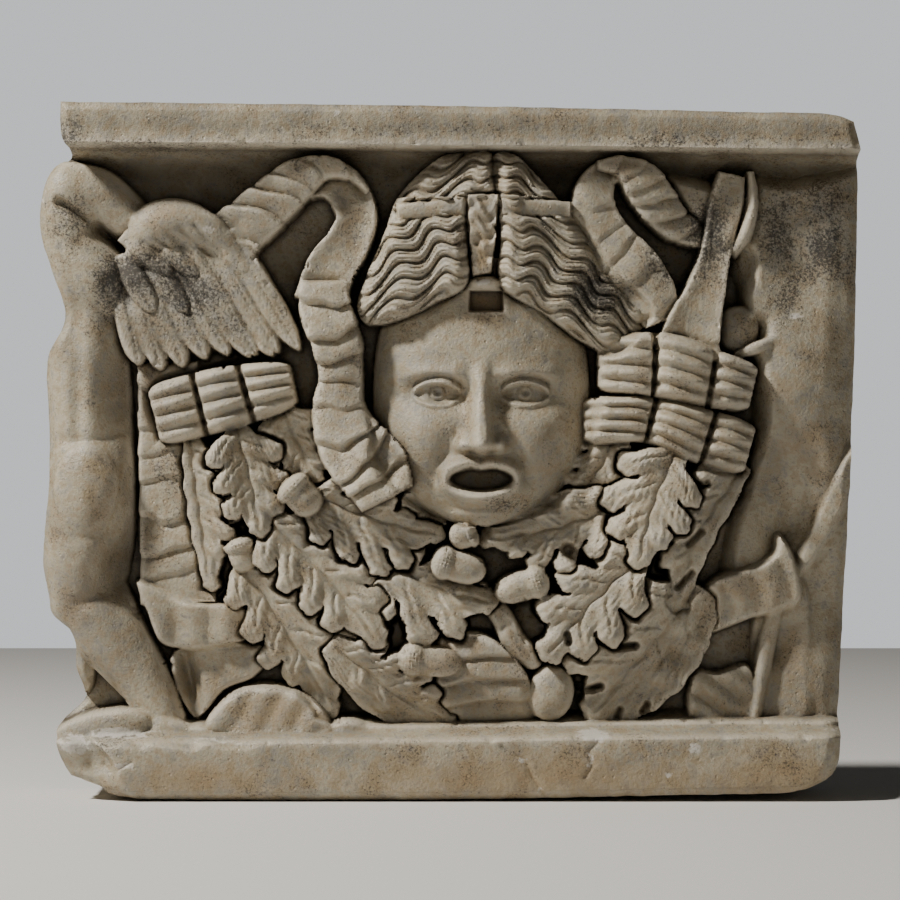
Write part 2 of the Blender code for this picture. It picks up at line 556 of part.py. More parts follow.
def carve_ribbons(board):
    """The ribbons that the garland hangs from, each turned over once at its top."""
    ribbon(board, [(-104, 182, 6, 38), (-88, 188, 11, 40), (-73, 182, 15, 43), (-66, 164, 15, 44),
                   (-72, 145, 16, 45), (-84, 127, 18, 46), (-93, 102, 18, 47)],
           pitch=PLAIN, depth=0, crown=-3, moat=8)
    ribbon(board, [(-164, 142, 20, 34), (-150, 153, 20, 39), (-128, 172, 18, 45), (-107, 190, 15, 49),
                   (-88, 198, 9, 50), (-70, 194, 5, 48), (-58, 182, 2, 45)],
           pitch=19, depth=4.5, moat=4, turn=0.6)
    ribbon(board, [(-91, 114, 17, 48), (-88, 98, 20, 52), (-80, 76, 18, 49), (-77, 52, 16, 46), (-78, 30, 19, 50),
                   (-70, 6, 24, 55), (-54, -14, 26, 60), (-44, -34, 20, 61)], pitch=18, depth=6, moat=9)
    ribbon(board, [(127, 197, 5, 44), (110, 194, 11, 46), (101, 179, 15, 47), (103, 160, 18, 46),
                   (113, 141, 21, 46), (128, 125, 22, 46), (141, 109, 19, 45), (149, 90, 13, 44)],
           pitch=22, depth=3, moat=8)
    ribbon(board, [(104, 200, 4, 50), (120, 199, 8, 51), (134, 189, 15, 50), (146, 173, 15, 45),
                   (160, 158, 12, 39), (180, 149, 8, 34)], pitch=14, depth=4, moat=6, turn=-0.4)
    # the strap from the lost figure's hand down to the rolls, and the fold beside it
    ribbon(board, [(199, 194, 10, 42), (194, 172, 12, 43), (188, 142, 11, 45), (181, 115, 14, 48),
                   (171, 86, 20, 50), (167, 66, 24, 50)], pitch=PLAIN, depth=0, crown=-3, moat=6)
    ribbon(board, [(212, 196, 3, 38), (213, 172, 4, 42), (208, 152, 5, 42), (199, 138, 4, 36)],
           pitch=PLAIN, depth=0, crown=4, moat=5, over=False)


def carve_face(board):
    """The mask's face, drawn by rule: equal thirds from hairline to chin, five eyes' width across."""
    third, eye = FACE_HEIGHT / 3, FACE_HALF * 2 / 5
    chin = FACE_CHIN
    nose, brow = chin + third, chin + 2 * third
    index, x, z = board.near(np.array([(FACE_MIDDLE, chin + FACE_HEIGHT / 2)]), 110)
    u, v = x - FACE_MIDDLE, z
    low = np.clip((brow - 20 - v) / (brow - 20 - chin), 0, 1)
    half = FACE_HALF * np.sqrt(np.clip(1 - low**2.3, 0, 1)) * dome(np.clip((v - brow + 12) / 130, 0, 1))
    inside = np.minimum(half - np.abs(u), v - chin)
    side = np.abs(u)
    across = np.clip(side / np.maximum(half, 1), 0, 1)
    surface = 8 + (MASK_RISE - 8) * dome(across * 0.99) ** 0.8 * (1 - 0.22 * ((v - brow + 12) / 80) ** 2)
    carve_eyes(surface, side, v, eye, brow)
    carve_nose(surface, side, v, eye, nose, brow)
    carve_mouth(surface, u, v, eye, nose, chin)
    board.lay(index, surface, inside, moat=12, width=6)
    hole = np.maximum(np.abs(x - SOCKET[0]) / SOCKET[2], np.abs(z - SOCKET[1]) / SOCKET[3])
    board.height[index] -= SOCKET_DEPTH * (1 - smooth(0.86, 1.02, hole))


def carve_eyes(surface, side, v, eye, brow):
    """Brows, sockets, lids and eyeballs, the same on both sides."""
    centre = brow - eye * 0.42
    surface -= 7 * bell(np.hypot((side - 15) / 8, (v - centre) / 9))
    surface -= 9 * bell(np.hypot((side - eye - 3) / 23, (v - centre) / 11))
    arch = brow + 2 - 5 * ((side - 1.1 * eye) / (1.2 * eye)) ** 2
    surface += 4.0 * bell((v - arch) / 6) * smooth(4, 20, side) * smooth(64, 44, side)
    share = (side - eye) / (eye * 0.54)
    ball = np.hypot(share, (v - centre) / 11.5)
    np.maximum(surface, np.where(ball < 1, MASK_RISE - 21 + 13 * dome(ball), -99), out=surface)
    opening = np.clip(1 - share**2, 0, 1)
    upper, lower = centre + 6.4 * opening**0.7 - 0.5, centre - 5.6 * opening**0.9 - 0.5
    lids = 5.0 * bell((v - upper - 2.2) / 2.3) + 3.4 * bell((v - lower + 1.8) / 2.0)
    lids -= 3.0 * bell((v - upper - 6.8) / 1.7)
    surface += np.where(np.abs(share) < 1.12, lids * smooth(1.12, 0.9, np.abs(share)), 0)
    iris = np.hypot(side - eye, v - centre - 0.8)
    seen = (v < upper) & (v > lower)
    surface -= np.where(seen, 1.2 * bell((iris - 5.6) / 0.9) + 3.0 * bell(iris / 2.0), 0)


def carve_nose(surface, side, v, eye, nose, brow):
    """A straight nose as wide as an eye, with round wings, and cheeks beside it."""
    run = np.clip((brow - v) / (brow - nose - 6), 0, 1)
    below = smooth(nose - 4, nose + 3, v)
    half = 6.0 + 3.0 * run
    surface += (5 + 18 * run**1.3) * np.exp(-(side / half) ** 3) * below * smooth(brow + 18, brow - 8, v)
    surface += 5 * bell(np.hypot(side / 9, (v - nose - 6) / 7)) * below
    surface += 12 * bell(np.hypot((side - eye * 0.43) / 4.6, (v - nose - 5) / 5.5)) * below
    surface -= 3 * bell(np.hypot((side - eye * 0.43 - 4) / 2.2, (v - nose - 8) / 7))
    surface -= 7 * bell(np.hypot((side - 6.5) / 3.2, (v - nose) / 2.4))
    surface += 7 * bell(np.hypot((side - 41) / 19, (v - nose - 9) / 20))
    surface -= 4 * bell(np.hypot((side - 26 - 0.4 * (nose - v)) / 5.5, (v - nose + 5) / 15))
    surface -= 1.8 * bell(side / 2.6) * smooth(nose - 3, nose - 6, v) * smooth(nose - 14, nose - 9, v)


def carve_mouth(surface, u, v, eye, nose, chin):
    """The round open mouth of a stage mask, its lips a ring round it, and the chin."""
    centre = nose - (nose - chin) * 0.37
    half, tall = eye * 0.72, 8.5
    w = v - centre + 1.8 * bell(u / 5) * (v > centre)
    f = (u / half) ** 2 + (w / tall) ** 2
    slope = 2 * np.hypot(u / half**2, w / tall**2) + 1e-6
    out = (f - 1) / slope
    surface += 7.5 * bell((np.clip(out, -1, None) - 3.2) / 3.2) + 2.5 * bell(out / 12)
    surface -= MOUTH_DEPTH * smooth(0.8, -2.2, out)
    surface -= 4.0 * bell(np.hypot(u / 20, (v - centre + 19.5) / 3.4))
    surface += 8 * bell(np.hypot(u / 18, (v - chin - 13) / 9.5))


def carve_hair(board):
    """Two masses of waved locks combed from the parting, with a fillet and a broken top-knot."""
    for side, outline, parting in ((-1, HAIR_LEFT, 12), (1, HAIR_RIGHT, 36)):
        curve = closed_curve(outline)
        index, x, z = board.near(curve, 10)
        inside = inside_of(curve, x, z)
        start = np.where(z > 177, 32, parting)
        run = np.clip(side * (x - start), 0, None)
        surface = MASK_RISE + 4 - 22 * (run / 110) ** 1.6 - 9 * smooth(160, 212, z) + 4 * smooth(26, 0, run)
        phase = run / LOCK_CURL + 1.3 * np.sin(z / 14 + side) + 0.4 * np.sin(run / 13)
        wave = LOCK_WAVE * np.sin(phase) * smooth(0, 16, run) * smooth(0, 10, inside + 6)
        strand = (z + 34 * (run / 75) ** 1.5 + wave) / LOCK_PITCH + 0.25 * np.sin(run / 23 + z / 31)
        lock = 5.4 * lock_profile(strand) - 3.5 + 2.2 * flute(3 * strand + 0.2) - 1.4 * np.cos(phase)
        surface += lock - 9 * (1 - smooth(0, 12, inside)) ** 2
        board.lay(index, surface, inside, moat=7, width=3)
        fillet = straight((parting, 170), (parting + side * 49, 168 + side))
        index, x, z = board.near(fillet, 12)
        b = Beside(fillet, x, z)
        inside = np.minimum(6.5 - np.abs(b.off), np.minimum(b.run, b.length - b.run))
        surface = MASK_RISE + 5 - 22 * (np.clip(b.run, 0, None) / 110) ** 1.6 - 0.04 * b.off**2
        board.lay(index, surface, inside, moat=5, width=2)
    knot = np.array([(12, 179), (34, 179), (33, 150), (29, 124), (16, 122), (13, 146)], float)
    index, x, z = board.near(knot, 6)
    rough = 1.6 * np.sin(x / 2.3 + 2 * np.sin(z / 5.1)) * np.sin(z / 3.7 + x / 6.1)
    rough += np.sin(z / 1.9 + 3 * np.sin(x / 3.3))
    board.lay(index, MASK_RISE + 4 + rough, inside_of(knot, x, z), moat=8, width=2)
    boss(board, (25, 117), (11, 5), MASK_RISE - 6, 6, blend=3)


def lock_profile(phase):
    """A lock that rises slowly and falls steeply on its lower side, one for each whole number."""
    part = phase - np.floor(phase)
    rise = np.sin(np.clip(part / 0.24, 0, 1) * math.pi / 2)
    fall = np.cos(np.clip((part - 0.24) / 0.76, 0, 1) * math.pi / 2)
    return np.where(part < 0.24, rise**1.4, np.clip(fall, 0, 1) ** 0.7)


def carve(board):
    """The whole front, from the farthest forms to the nearest."""
    carve_slab(board)
    carve_right_mass(board)
    carve_boy(board)
    carve_left_gown(board)
    carve_right_gown(board)
    carve_garland(board)
    carve_wing(board)
    carve_ribbons(board)
    roll(board, LEFT_ROLL, [(0.33, 0), (0.66, -0.06)])
    roll(board, RIGHT_LOW_ROLL, [(0.39, 0.1), (0.74, 0.02)])
    roll(board, RIGHT_HIGH_ROLL, [(0.355, -0.07), (0.726, -0.09)], moat=5)
    carve_face(board)
    carve_hair(board)
    carve_slab(board)


def edge_line(points, places):
    """A slab edge through points of place and distance, at many places."""
    rows = open_curve(points, steps=5)
    return np.interp(places, rows[:, 0], rows[:, 1])


def slab_places(across, up):
    """Board places for shares of the slab's width and height, drawn in to its worn and broken edges."""
    x = (across - 0.5) * BOARD_WIDTH
    z = (up - 0.5) * BOARD_HEIGHT
    left, right = -BOARD_WIDTH / 2, BOARD_WIDTH / 2
    bottom, top = -BOARD_HEIGHT / 2, BOARD_HEIGHT / 2
    to_left, to_right = edge_line(LEFT_EDGE, z) - left, edge_line(RIGHT_EDGE, z) - right
    to_bottom, to_top = edge_line(BOTTOM_EDGE, x) - bottom, edge_line(TOP_EDGE, x) - top
    return (x + to_left * (1 - across) ** 7 + to_right * across**7,
            z + to_bottom * (1 - up) ** 7 + to_top * up**7)


def slab_mesh():
    """The carved front as a grid, its four sides, and the flat back."""
    columns, rows = round(BOARD_WIDTH / GRID_STEP), round(BOARD_HEIGHT / GRID_STEP)
    bm = bmesh.new()
    bmesh.ops.create_grid(bm, x_segments=columns, y_segments=rows, size=0.5)
    places = np.array([vert.co[:2] for vert in bm.verts]) + 0.5
    x, z = slab_places(places[:, 0], places[:, 1])
    board = Board(x, z)
    carve(board)
    worn = np.minimum(np.minimum(places[:, 0], 1 - places[:, 0]) * BOARD_WIDTH,
                      np.minimum(places[:, 1], 1 - places[:, 1]) * BOARD_HEIGHT)
    height = np.maximum(board.height - EDGE_WEAR * (1 - smooth(0, EDGE_WEAR * 2, worn)), -DRILL_DEPTH)
    points = np.column_stack([x * SLAB_WIDTH / BOARD_WIDTH, -GROUND_THICKNESS - height * RELIEF_SCALE,
                              z * SLAB_HEIGHT / BOARD_HEIGHT])
    for vert, point in zip(bm.verts, points):
        vert.co = point
    rim = [edge for edge in bm.edges if edge.is_boundary]
    sides = bmesh.ops.extrude_edge_only(bm, edges=rim)["geom"]
    for vert in (item for item in sides if isinstance(item, bmesh.types.BMVert)):
        vert.co.y = 0.0
    bmesh.ops.contextual_create(bm, geom=[edge for edge in bm.edges if edge.is_boundary])
    bmesh.ops.recalc_face_normals(bm, faces=bm.faces)
    mesh = bpy.data.meshes.new(NODE)
    bm.to_mesh(mesh)
    bm.free()
    return mesh


def marble():
    material = bpy.data.materials.new("marble")
    material.use_nodes = True
    shader = material.node_tree.nodes["Principled BSDF"]
    shader.inputs["Base Color"].default_value = (0.55, 0.50, 0.42, 1.0)
    shader.inputs["Roughness"].default_value = 0.6
    shader.inputs["Metallic"].default_value = 0.0
    return material


def build():
    for old in list(bpy.data.objects):
        bpy.data.objects.remove(old, do_unlink=True)
    collection = bpy.data.collections.new(COLLECTION)
    bpy.context.scene.collection.children.link(collection)
    mesh = slab_mesh()
    mesh.materials.append(marble())
    slab = bpy.data.objects.new(NODE, mesh)
    collection.objects.link(slab)
    faceted = slab.modifiers.new("Facets", "DECIMATE")
    faceted.ratio = TRIANGLES / sum(len(face.vertices) - 2 for face in mesh.polygons)
    faceted.use_collapse_triangulate = True


build()
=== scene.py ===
"""Marble relief slab: a garland of oak leaves, a stage mask and ribbons between two broken figures.

The front is a drawing board in millimetres, x to the right and z up from the slab's middle. Each form is
laid on it as a height above the relief's ground, and the board becomes the slab's finely carved face. Wear,
pits and chips follow on the mesh, and dirt, stains, lichen, painted shade in its hollows and under the
fascia, and painted highlights on its edges in the marble.
"""

import math

import bpy
import bmesh
import numpy as np
from mathutils import Matrix, Vector


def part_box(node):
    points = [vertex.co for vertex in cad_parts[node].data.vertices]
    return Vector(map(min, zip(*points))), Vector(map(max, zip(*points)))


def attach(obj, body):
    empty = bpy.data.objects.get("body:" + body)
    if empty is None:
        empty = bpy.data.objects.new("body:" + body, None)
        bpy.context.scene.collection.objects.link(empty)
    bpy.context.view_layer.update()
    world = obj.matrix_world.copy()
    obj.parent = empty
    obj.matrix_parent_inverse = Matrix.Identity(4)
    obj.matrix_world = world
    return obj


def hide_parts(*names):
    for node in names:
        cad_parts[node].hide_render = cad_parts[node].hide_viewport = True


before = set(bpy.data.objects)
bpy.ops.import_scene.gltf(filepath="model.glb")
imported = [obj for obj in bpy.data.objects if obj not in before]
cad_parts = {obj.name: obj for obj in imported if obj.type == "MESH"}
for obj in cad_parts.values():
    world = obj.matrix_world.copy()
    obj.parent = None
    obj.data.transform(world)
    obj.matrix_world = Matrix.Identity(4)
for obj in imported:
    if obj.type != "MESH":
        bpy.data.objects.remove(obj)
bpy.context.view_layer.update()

NODE = "relief_slab"
PIECE = "carved_slab"

# The drawing board, the carving's grid and the slab's fine mesh
BOARD_WIDTH = 578
BOARD_HEIGHT = 487
GROUND_THICKNESS = 0.052
RELIEF_SCALE = 0.001
GRID_STEP = 1.0
SIDE_STEPS = 12
TRIANGLES = 190000
SHARP_ANGLE = math.radians(55)
# How steeply the board is drawn in to the slab's worn edges, and the reach of the two blurs that find hollows
EDGE_PULL = 7
NEAR_REACH = 3
WIDE_REACH = 8
WEAR_SEED = 3.0
BUMP_STRENGTH = 0.7

# Colours of the marble, of what lies on it, and of the painted shade and painted highlight on it
CREAM_MARBLE = (0.46, 0.41, 0.305, 1)
GREY_MARBLE = (0.31, 0.28, 0.215, 1)
TAN_MARBLE = (0.31, 0.235, 0.135, 1)
BROWN_MARBLE = (0.30, 0.25, 0.18, 1)
VEIN_GREY = (0.22, 0.21, 0.19, 1)
# pale worn edges, and a painted highlight on ridges and crests
PALE_EDGE_AND_PAINTED_HIGHLIGHT = (0.66, 0.60, 0.49, 1)
FRESH_BREAK = (0.62, 0.59, 0.53, 1)
OCHRE = (0.30, 0.21, 0.105, 1)
# brown dirt, and painted shade in the recesses and at the shade places
BROWN_DIRT_AND_PAINTED_SHADE = (0.105, 0.075, 0.043, 1)
# dark dirt and painted shade in the narrow hollows and drilled gaps
DARK_DIRT_AND_PAINTED_SHADE = (0.050, 0.036, 0.022, 1)
LICHEN = (0.028, 0.026, 0.024, 1)

# The studio: floor, lights by place, size, power and colour, and a camera with its view's width at the front
FLOOR_SIZE = 4.4
FLOOR_GAP = 0.001
FLOOR_COLOUR = (0.74, 0.73, 0.71, 1)
LIGHTS = {
    "key": ((-2.1, -1.05, 2.3), 0.4, 160, (1.0, 0.96, 0.90)),
    "fill": ((1.6, -3.0, 0.6), 1.6, 2.0, (1.0, 0.97, 0.93)),
}
SKY_COLOUR = (0.86, 0.88, 0.90, 1)
SKY_STRENGTH = 0.035
BACKDROP_STRENGTH = 0.8
SENSOR = 36.0
VIEW_WIDTH = 0.63
CAMERA_DISTANCE = 3.0
FRONT_PLANE = 0.10

# Rises above the ground, in millimetres
FASCIA_RISE = 62
BASE_RISE = 66
MASS_RISE = 36
WING_RISE = 36
MASK_RISE = 54
DRILL_DEPTH = 4
# Heights on the board: the fascia's lower edge, the ledge of the base, and where its damage ends
FASCIA_FOOT = 214
LEDGE = -204
DAMAGE_TOP = -170

# The mask's face: its middle, chin, half width and height
FACE_MIDDLE = 22
FACE_CHIN = -54
FACE_HALF = 77
FACE_HEIGHT = 159
MOUTH_DEPTH = 24
# The dowel socket in its brow: middle, half width and half height
SOCKET = (25.5, 104.5, 12.5, 7.5)
SOCKET_DEPTH = 15
# The hair's partings beside the top-knot and above it, and where the knot ends
PARTING = (12, 36)
CROWN_PARTING = 32
KNOT_TOP = 177
# The locks of hair: their pitch, and the reach and length of their waves
LOCK_PITCH = 12
LOCK_WAVE = 4.6
LOCK_CURL = 4.9
# A leaf's teeth as a share of a lobe's radius, its fine veins, and the fall of its tip
TOOTH = 0.06
VEINS = 110
LEAF_CURL = 3.0
# How far a ribbon's folds bow, and a pitch that leaves a ribbon plain
BOW = 0.12
PLAIN = 400
# A roll's flutes, and an acorn's cup as a share of its length
FLUTES = 4
CUP = 0.42

# Stations of x, z, half width and crest along the garland and the rolls
SWAG = [(-176, 30, 40, 30), (-165, -30, 44, 34), (-128, -92, 48, 36), (-62, -130, 50, 36),
        (12, -142, 50, 34), (78, -130, 50, 36), (130, -98, 50, 36), (160, -45, 46, 36), (160, 10, 44, 34)]
LEFT_ROLL = [(-209, 24, 22, 46), (-160, 36, 23, 52), (-110, 47, 17, 50)]
RIGHT_LOW_ROLL = [(94, 21, 17, 52), (140, 21, 17, 57), (180, 9, 20, 56), (212, 0, 19, 48)]
RIGHT_HIGH_ROLL = [(104, 60, 20, 50), (145, 60, 23, 60), (184, 50, 21, 58), (214, 43, 18, 50)]

# Leaves: base, tip, reach to the left and right of the midrib, lobes, lift and bend
LOW_LEAVES = [
    ((-184, 12), (-168, -100), (26, -9), 5, 8, 0.0),
    ((-150, -76), (-82, -189), (42, 26), 4, 8, 0.03),
    ((176, -96), (96, -192), (-36, 50), 3, 15, 0.0),
    ((208, -10), (158, -114), (-13, 25), 4, 12, -0.08),
]
HIGH_LEAVES = [
    ((-84, -134), (4, -196), (28, -22), 4, 13, -0.04),
    ((-122, 36), (-92, -28), (24, 30), 3, 15, 0.0),
    ((-58, -72), (34, -108), (22, 36), 3, 15, -0.06),
    ((-134, -44), (-46, -138), (35, 30), 4, 16, 0.03),
    ((-34, -32), (-2, -52), (16, 14), 2, 15, 0.0),
    ((-106, -28), (-3, -61), (18, 35), 4, 18, -0.03),
    ((-152, 20), (-132, -62), (28, 28), 3, 18, 0.02),
    ((118, 12), (86, -42), (38, 22), 3, 15, 0.02),
    ((138, -70), (64, -148), (31, 30), 3, 18, -0.02),
    ((122, -38), (19, -64), (28, -24), 4, 19, 0.04),
    ((160, 4), (131, -84), (28, 32), 3, 21, -0.04),
]
# Drilled cuts in the leaves by half width, depth and softness: notches between the lobes of the broad leaf,
# slits in it and in the leaf beside the rolls, its veins, and two holes at the garland's right
LEAF_CUTS = [
    (1.4, 16, 2.5, [[(104, -134), (116, -138), (130, -137)], [(84, -166), (96, -168), (106, -166)]]),
    (1.2, 9, 2.5, [[(118, -188), (120, -183)], [(136, -184), (139, -179)], [(172, -30), (180, -23)],
                   [(167, -66), (177, -57)], [(160, -96), (170, -86)]]),
    (0.8, 1.2, 4, [[(166, -106), (140, -124), (112, -130)], [(166, -112), (136, -146), (96, -160)],
                   [(167, -120), (142, -158), (114, -178)], [(168, -128), (155, -154), (138, -172)]]),
]
LEAF_HOLES = [
    (3.5, 14, 3, [[(83, -70), (89, -75)]]),
    (1.5, 10, 2, [[(82, -129), (83, -134)]]),
]
# Acorns: middle, length, radius, angle and height
ACORNS = [
    ((-13, -148), 44, 11, -6, 44),
    ((9, -60), 20, 10, 200, 42),
    ((50, -96), 38, 11, 196, 42),
    ((7, -82), 38, 11, -16, 44),
    ((-146, -74), 24, 10, -72, 42),
    ((-104, -33), 30, 12, -45, 44),
]

# Outlines of the wing, the broken figure and the mask's hair
WING = [(-222, 142), (-218, 166), (-202, 178), (-184, 175), (-164, 163), (-144, 146), (-128, 124),
        (-118, 100), (-106, 84), (-118, 76), (-140, 72), (-160, 70), (-190, 68), (-226, 68), (-230, 100),
        (-228, 128)]
RIGHT_MASS = [(152, 196), (168, 196), (187, 191), (205, 192), (213, 197), (226, 194), (244, 193),
              (264, 197), (330, 200), (330, 0), (330, -200), (250, -197),
              (214, -196), (216, -150), (238, -118), (196, -96), (194, -62),
              (206, -22), (216, 20), (214, 46), (207, 66), (195, 74), (192, 90), (203, 99), (197, 125),
              (194, 142), (176, 148), (160, 165), (150, 180)]
HAIR_LEFT = [(32, 207), (6, 209), (-12, 203), (-36, 180), (-47, 152), (-58, 126), (-66, 102), (-58, 88),
             (-36, 91), (-10, 103), (12, 117), (13, 150), (18, 175), (33, 180)]
HAIR_RIGHT = [(31, 207), (48, 206), (70, 184), (84, 166), (100, 142), (120, 118), (140, 98), (130, 78),
              (112, 68), (90, 78), (64, 97), (36, 115), (35, 150), (33, 176)]
# The slab's edges: left and right by height, bottom and top by place across
LEFT_EDGE = [(-244, -266), (-228, -273), (-212, -276), (-199, -275), (-180, -259), (-157, -264),
             (-132, -266), (-118, -281), (-105, -283), (-75, -287), (-30, -283), (0, -283), (45, -285),
             (66, -284), (82, -275), (96, -271), (112, -275), (128, -281), (147, -287), (165, -289),
             (187, -285), (200, -278), (208, -267), (222, -272), (244, -272)]
RIGHT_EDGE = [(-244, 263), (-239, 268), (-230, 271.5), (-215, 273), (-150, 277), (-60, 281), (60, 285.5),
              (175, 287.5), (215, 287.5), (244, 282)]
BOTTOM_EDGE = [(-289, -228), (-262, -234), (-225, -243), (0, -243.5), (130, -241), (240, -239), (262, -237),
               (276, -234), (289, -230)]
TOP_EDGE = [(-289, 243), (0, 240), (200, 236), (268, 234.5), (289, 229)]
EDGE_WEAR = 3
# Fine cracks and a chipped groove in the base
BASE_CRACKS = [
    [(36, -206), (44, -212), (52, -216), (58, -228), (66, -241)],
    [(103, -203), (97, -210), (99, -219), (94, -228)],
    [(-242, -219), (-236, -224), (-222, -217)],
]


def smooth(low, high, value):
    """0 below low, 1 above high, and an S between them."""
    share = np.clip((value - low) / (high - low), 0.0, 1.0)
    return share * share * (3.0 - 2.0 * share)


def dome(value):
    """A round hump: 1 at 0, and 0 from 1 outwards."""
    return np.sqrt(np.clip(1.0 - value * value, 0.0, None))


def bell(value):
    """A soft bump: 1 at 0, and near 0 from 2 outwards."""
    return np.exp(-value * value)


def soft_max(a, b, blend):
    """The higher of two surfaces, with a fillet where they are less than a blend apart."""
    overlap = np.clip(1.0 - np.abs(a - b) / blend, 0.0, None)
    return np.maximum(a, b) + blend * 0.25 * overlap * overlap


def pleat(phase):
    """A rounded rise and a quick fall, once for each whole number."""
    part = (phase - np.floor(phase)) / 0.8
    return np.where(part < 1, 0.4 * part + 0.6 * dome(1 - part), 1 - smooth(1, 1.25, part))


def flute(phase):
    """Round ridges with narrow grooves between, one for each whole number."""
    return np.sqrt(np.sin(math.pi * phase) ** 2 + 0.02)


def weave(rows, steps):
    """A smooth Catmull-Rom curve through the middle rows, each row any list of numbers."""
    t = np.linspace(0.0, 1.0, steps, endpoint=False)[:, None]
    parts = []
    for a, b, c, d in zip(rows, rows[1:], rows[2:], rows[3:]):
        parts.append(b + 0.5 * t * (c - a + t * (2 * a - 5 * b + 4 * c - d + t * (3 * b - a - 3 * c + d))))
    return np.vstack(parts)


def open_curve(stations, steps=14):
    """A smooth curve from the first station to the last."""
    rows = np.array(stations, float)
    ends = np.vstack([2 * rows[0] - rows[1], rows, 2 * rows[-1] - rows[-2]])
    return np.vstack([weave(ends, steps), rows[-1:]])


def closed_curve(points, steps=6):
    """A smooth ring through all points."""
    rows = np.array(points, float)
    return weave(np.vstack([rows[-1:], rows, rows[:2]]), steps)


def straight(start, end, steps=24):
    return np.linspace(np.array(start, float), np.array(end, float), steps)


def turned(x, z, centre, half, angle):
    """Places in the frame of an ellipse with its centre, half sizes and angle in degrees."""
    c, s = math.cos(math.radians(angle)), math.sin(math.radians(angle))
    dx, dz = x - centre[0], z - centre[1]
    return (dx * c + dz * s) / half[0], (dz * c - dx * s) / half[1]


def inside_of(outline, x, z):
    """Distance in from the edge of a closed outline, negative outside it."""
    nearest = np.full(x.shape, 1e9)
    odd = np.zeros(x.shape, bool)
    for (ax, az), (bx, bz) in zip(outline, np.roll(outline, -1, axis=0)):
        ex, ez = bx - ax, bz - az
        t = np.clip(((x - ax) * ex + (z - az) * ez) / max(ex * ex + ez * ez, 1e-9), 0, 1)
        nearest = np.minimum(nearest, np.hypot(x - ax - t * ex, z - az - t * ez))
        if abs(ez) > 1e-9:
            odd ^= ((az > z) != (bz > z)) & (x < ex * (z - az) / ez + ax)
    return np.where(odd, nearest, -nearest)


class Beside:
    """Where points lie beside a curve: how far along it, how far off it, and its other numbers there."""

    def __init__(self, curve, x, z):
        line = curve[:, :2]
        along = np.gradient(line, axis=0)
        along /= np.linalg.norm(along, axis=1)[:, None]
        travelled = np.concatenate([[0], np.cumsum(np.linalg.norm(np.diff(line, axis=0), axis=1))])
        nearest = ((x[:, None] - line[:, 0]) ** 2 + (z[:, None] - line[:, 1]) ** 2).argmin(1)
        dx, dz = x - line[nearest, 0], z - line[nearest, 1]
        tx, tz = along[nearest].T
        self.length = travelled[-1]
        self.run = travelled[nearest] + dx * tx + dz * tz
        self.off = dz * tx - dx * tz
        self.past = np.maximum(np.maximum(-self.run, self.run - self.length), 0)
        self.values = [np.interp(self.run, travelled, curve[:, k]) for k in range(2, curve.shape[1])]


class Board:
    """The height of the carved face above its ground, at many places."""

    def __init__(self, x, z):
        self.x, self.z = x, z
        self.height = np.zeros_like(x)

    def near(self, points, reach):
        low, high = np.min(points, axis=0)[:2] - reach, np.max(points, axis=0)[:2] + reach
        across = (self.x > low[0]) & (self.x < high[0])
        index = np.flatnonzero(across & (self.z > low[1]) & (self.z < high[1]))
        return index, self.x[index], self.z[index]

    def beside(self, curve, reach):
        """The places near a curve, and how they lie beside it."""
        index, x, z = self.near(curve, reach)
        return index, Beside(curve, x, z)

    def lay(self, index, surface, inside, edge=1.8, moat=0.0, width=4.0, floor=-DRILL_DEPTH, over=False):
        """Lays a surface on what is there, or over all of it, inside its edge. A moat is drilled round it."""
        under = self.height[index]
        if moat:
            x, z = self.x[index], self.z[index]
            uneven = 0.75 + 0.35 * np.sin(x / 11 + z / 17) * np.sin(z / 9 - x / 19)
            ring = bell(np.clip(-inside, 0.0, None) / (width * uneven))
            under = np.maximum(under - moat * uneven * ring, np.minimum(under, floor))
        laid = under + (surface - under) * smooth(-edge / 2, edge / 2, inside)
        self.height[index] = np.where(inside > -edge, laid if over else np.maximum(under, laid), under)

    def grow(self, index, surface, inside, blend=8.0, edge=2.0):
        """Like lay, but grown together with what is there by a soft fillet."""
        under = self.height[index]
        cover = smooth(-edge / 2, edge / 2, inside)
        self.height[index] = under + (soft_max(under, surface, blend) - under) * cover


def ribbon(board, stations, pitch=PLAIN, depth=0, crown=2.0, moat=6.0, turn=0.0, over=True):
    """A pleated ribbon through stations of x, z, half width and height."""
    curve = open_curve(stations)
    index, b = board.beside(curve, curve[:, 2].max() + 12)
    half, level = b.values
    across = np.clip(b.off / half, -1.2, 1.2)
    uneven = 0.22 * np.sin(b.run / 13 + half[:1] + b.off / 19) + 0.05 * np.sin(b.off / 4 + b.run / 9)
    wave = pleat((b.run + turn * b.off) / pitch + BOW * across**2 + uneven)
    depth = depth * (0.8 + 0.35 * np.sin(b.run / 17 + stations[0][0]))
    inside = half - np.abs(b.off) + 0.2 * depth * (wave - 0.6)
    inside = np.minimum(inside, np.minimum(b.run, b.length - b.run) + 0.5)
    surface = level + crown * (1 - across**2) + depth * (wave - 0.5)
    board.lay(index, surface - 1.4 * (1 - smooth(0, 3, inside)), inside, moat=moat, over=over)


def limb(board, stations, blend=8.0):
    """A rounded limb through stations of x, z, radius and crest height."""
    curve = open_curve(stations)
    index, b = board.beside(curve, curve[:, 2].max() + 4)
    radius, crest = b.values
    away = np.hypot(b.off, b.past) / radius
    board.grow(index, crest - radius * (1 - dome(away)), (1 - away) * radius, blend)


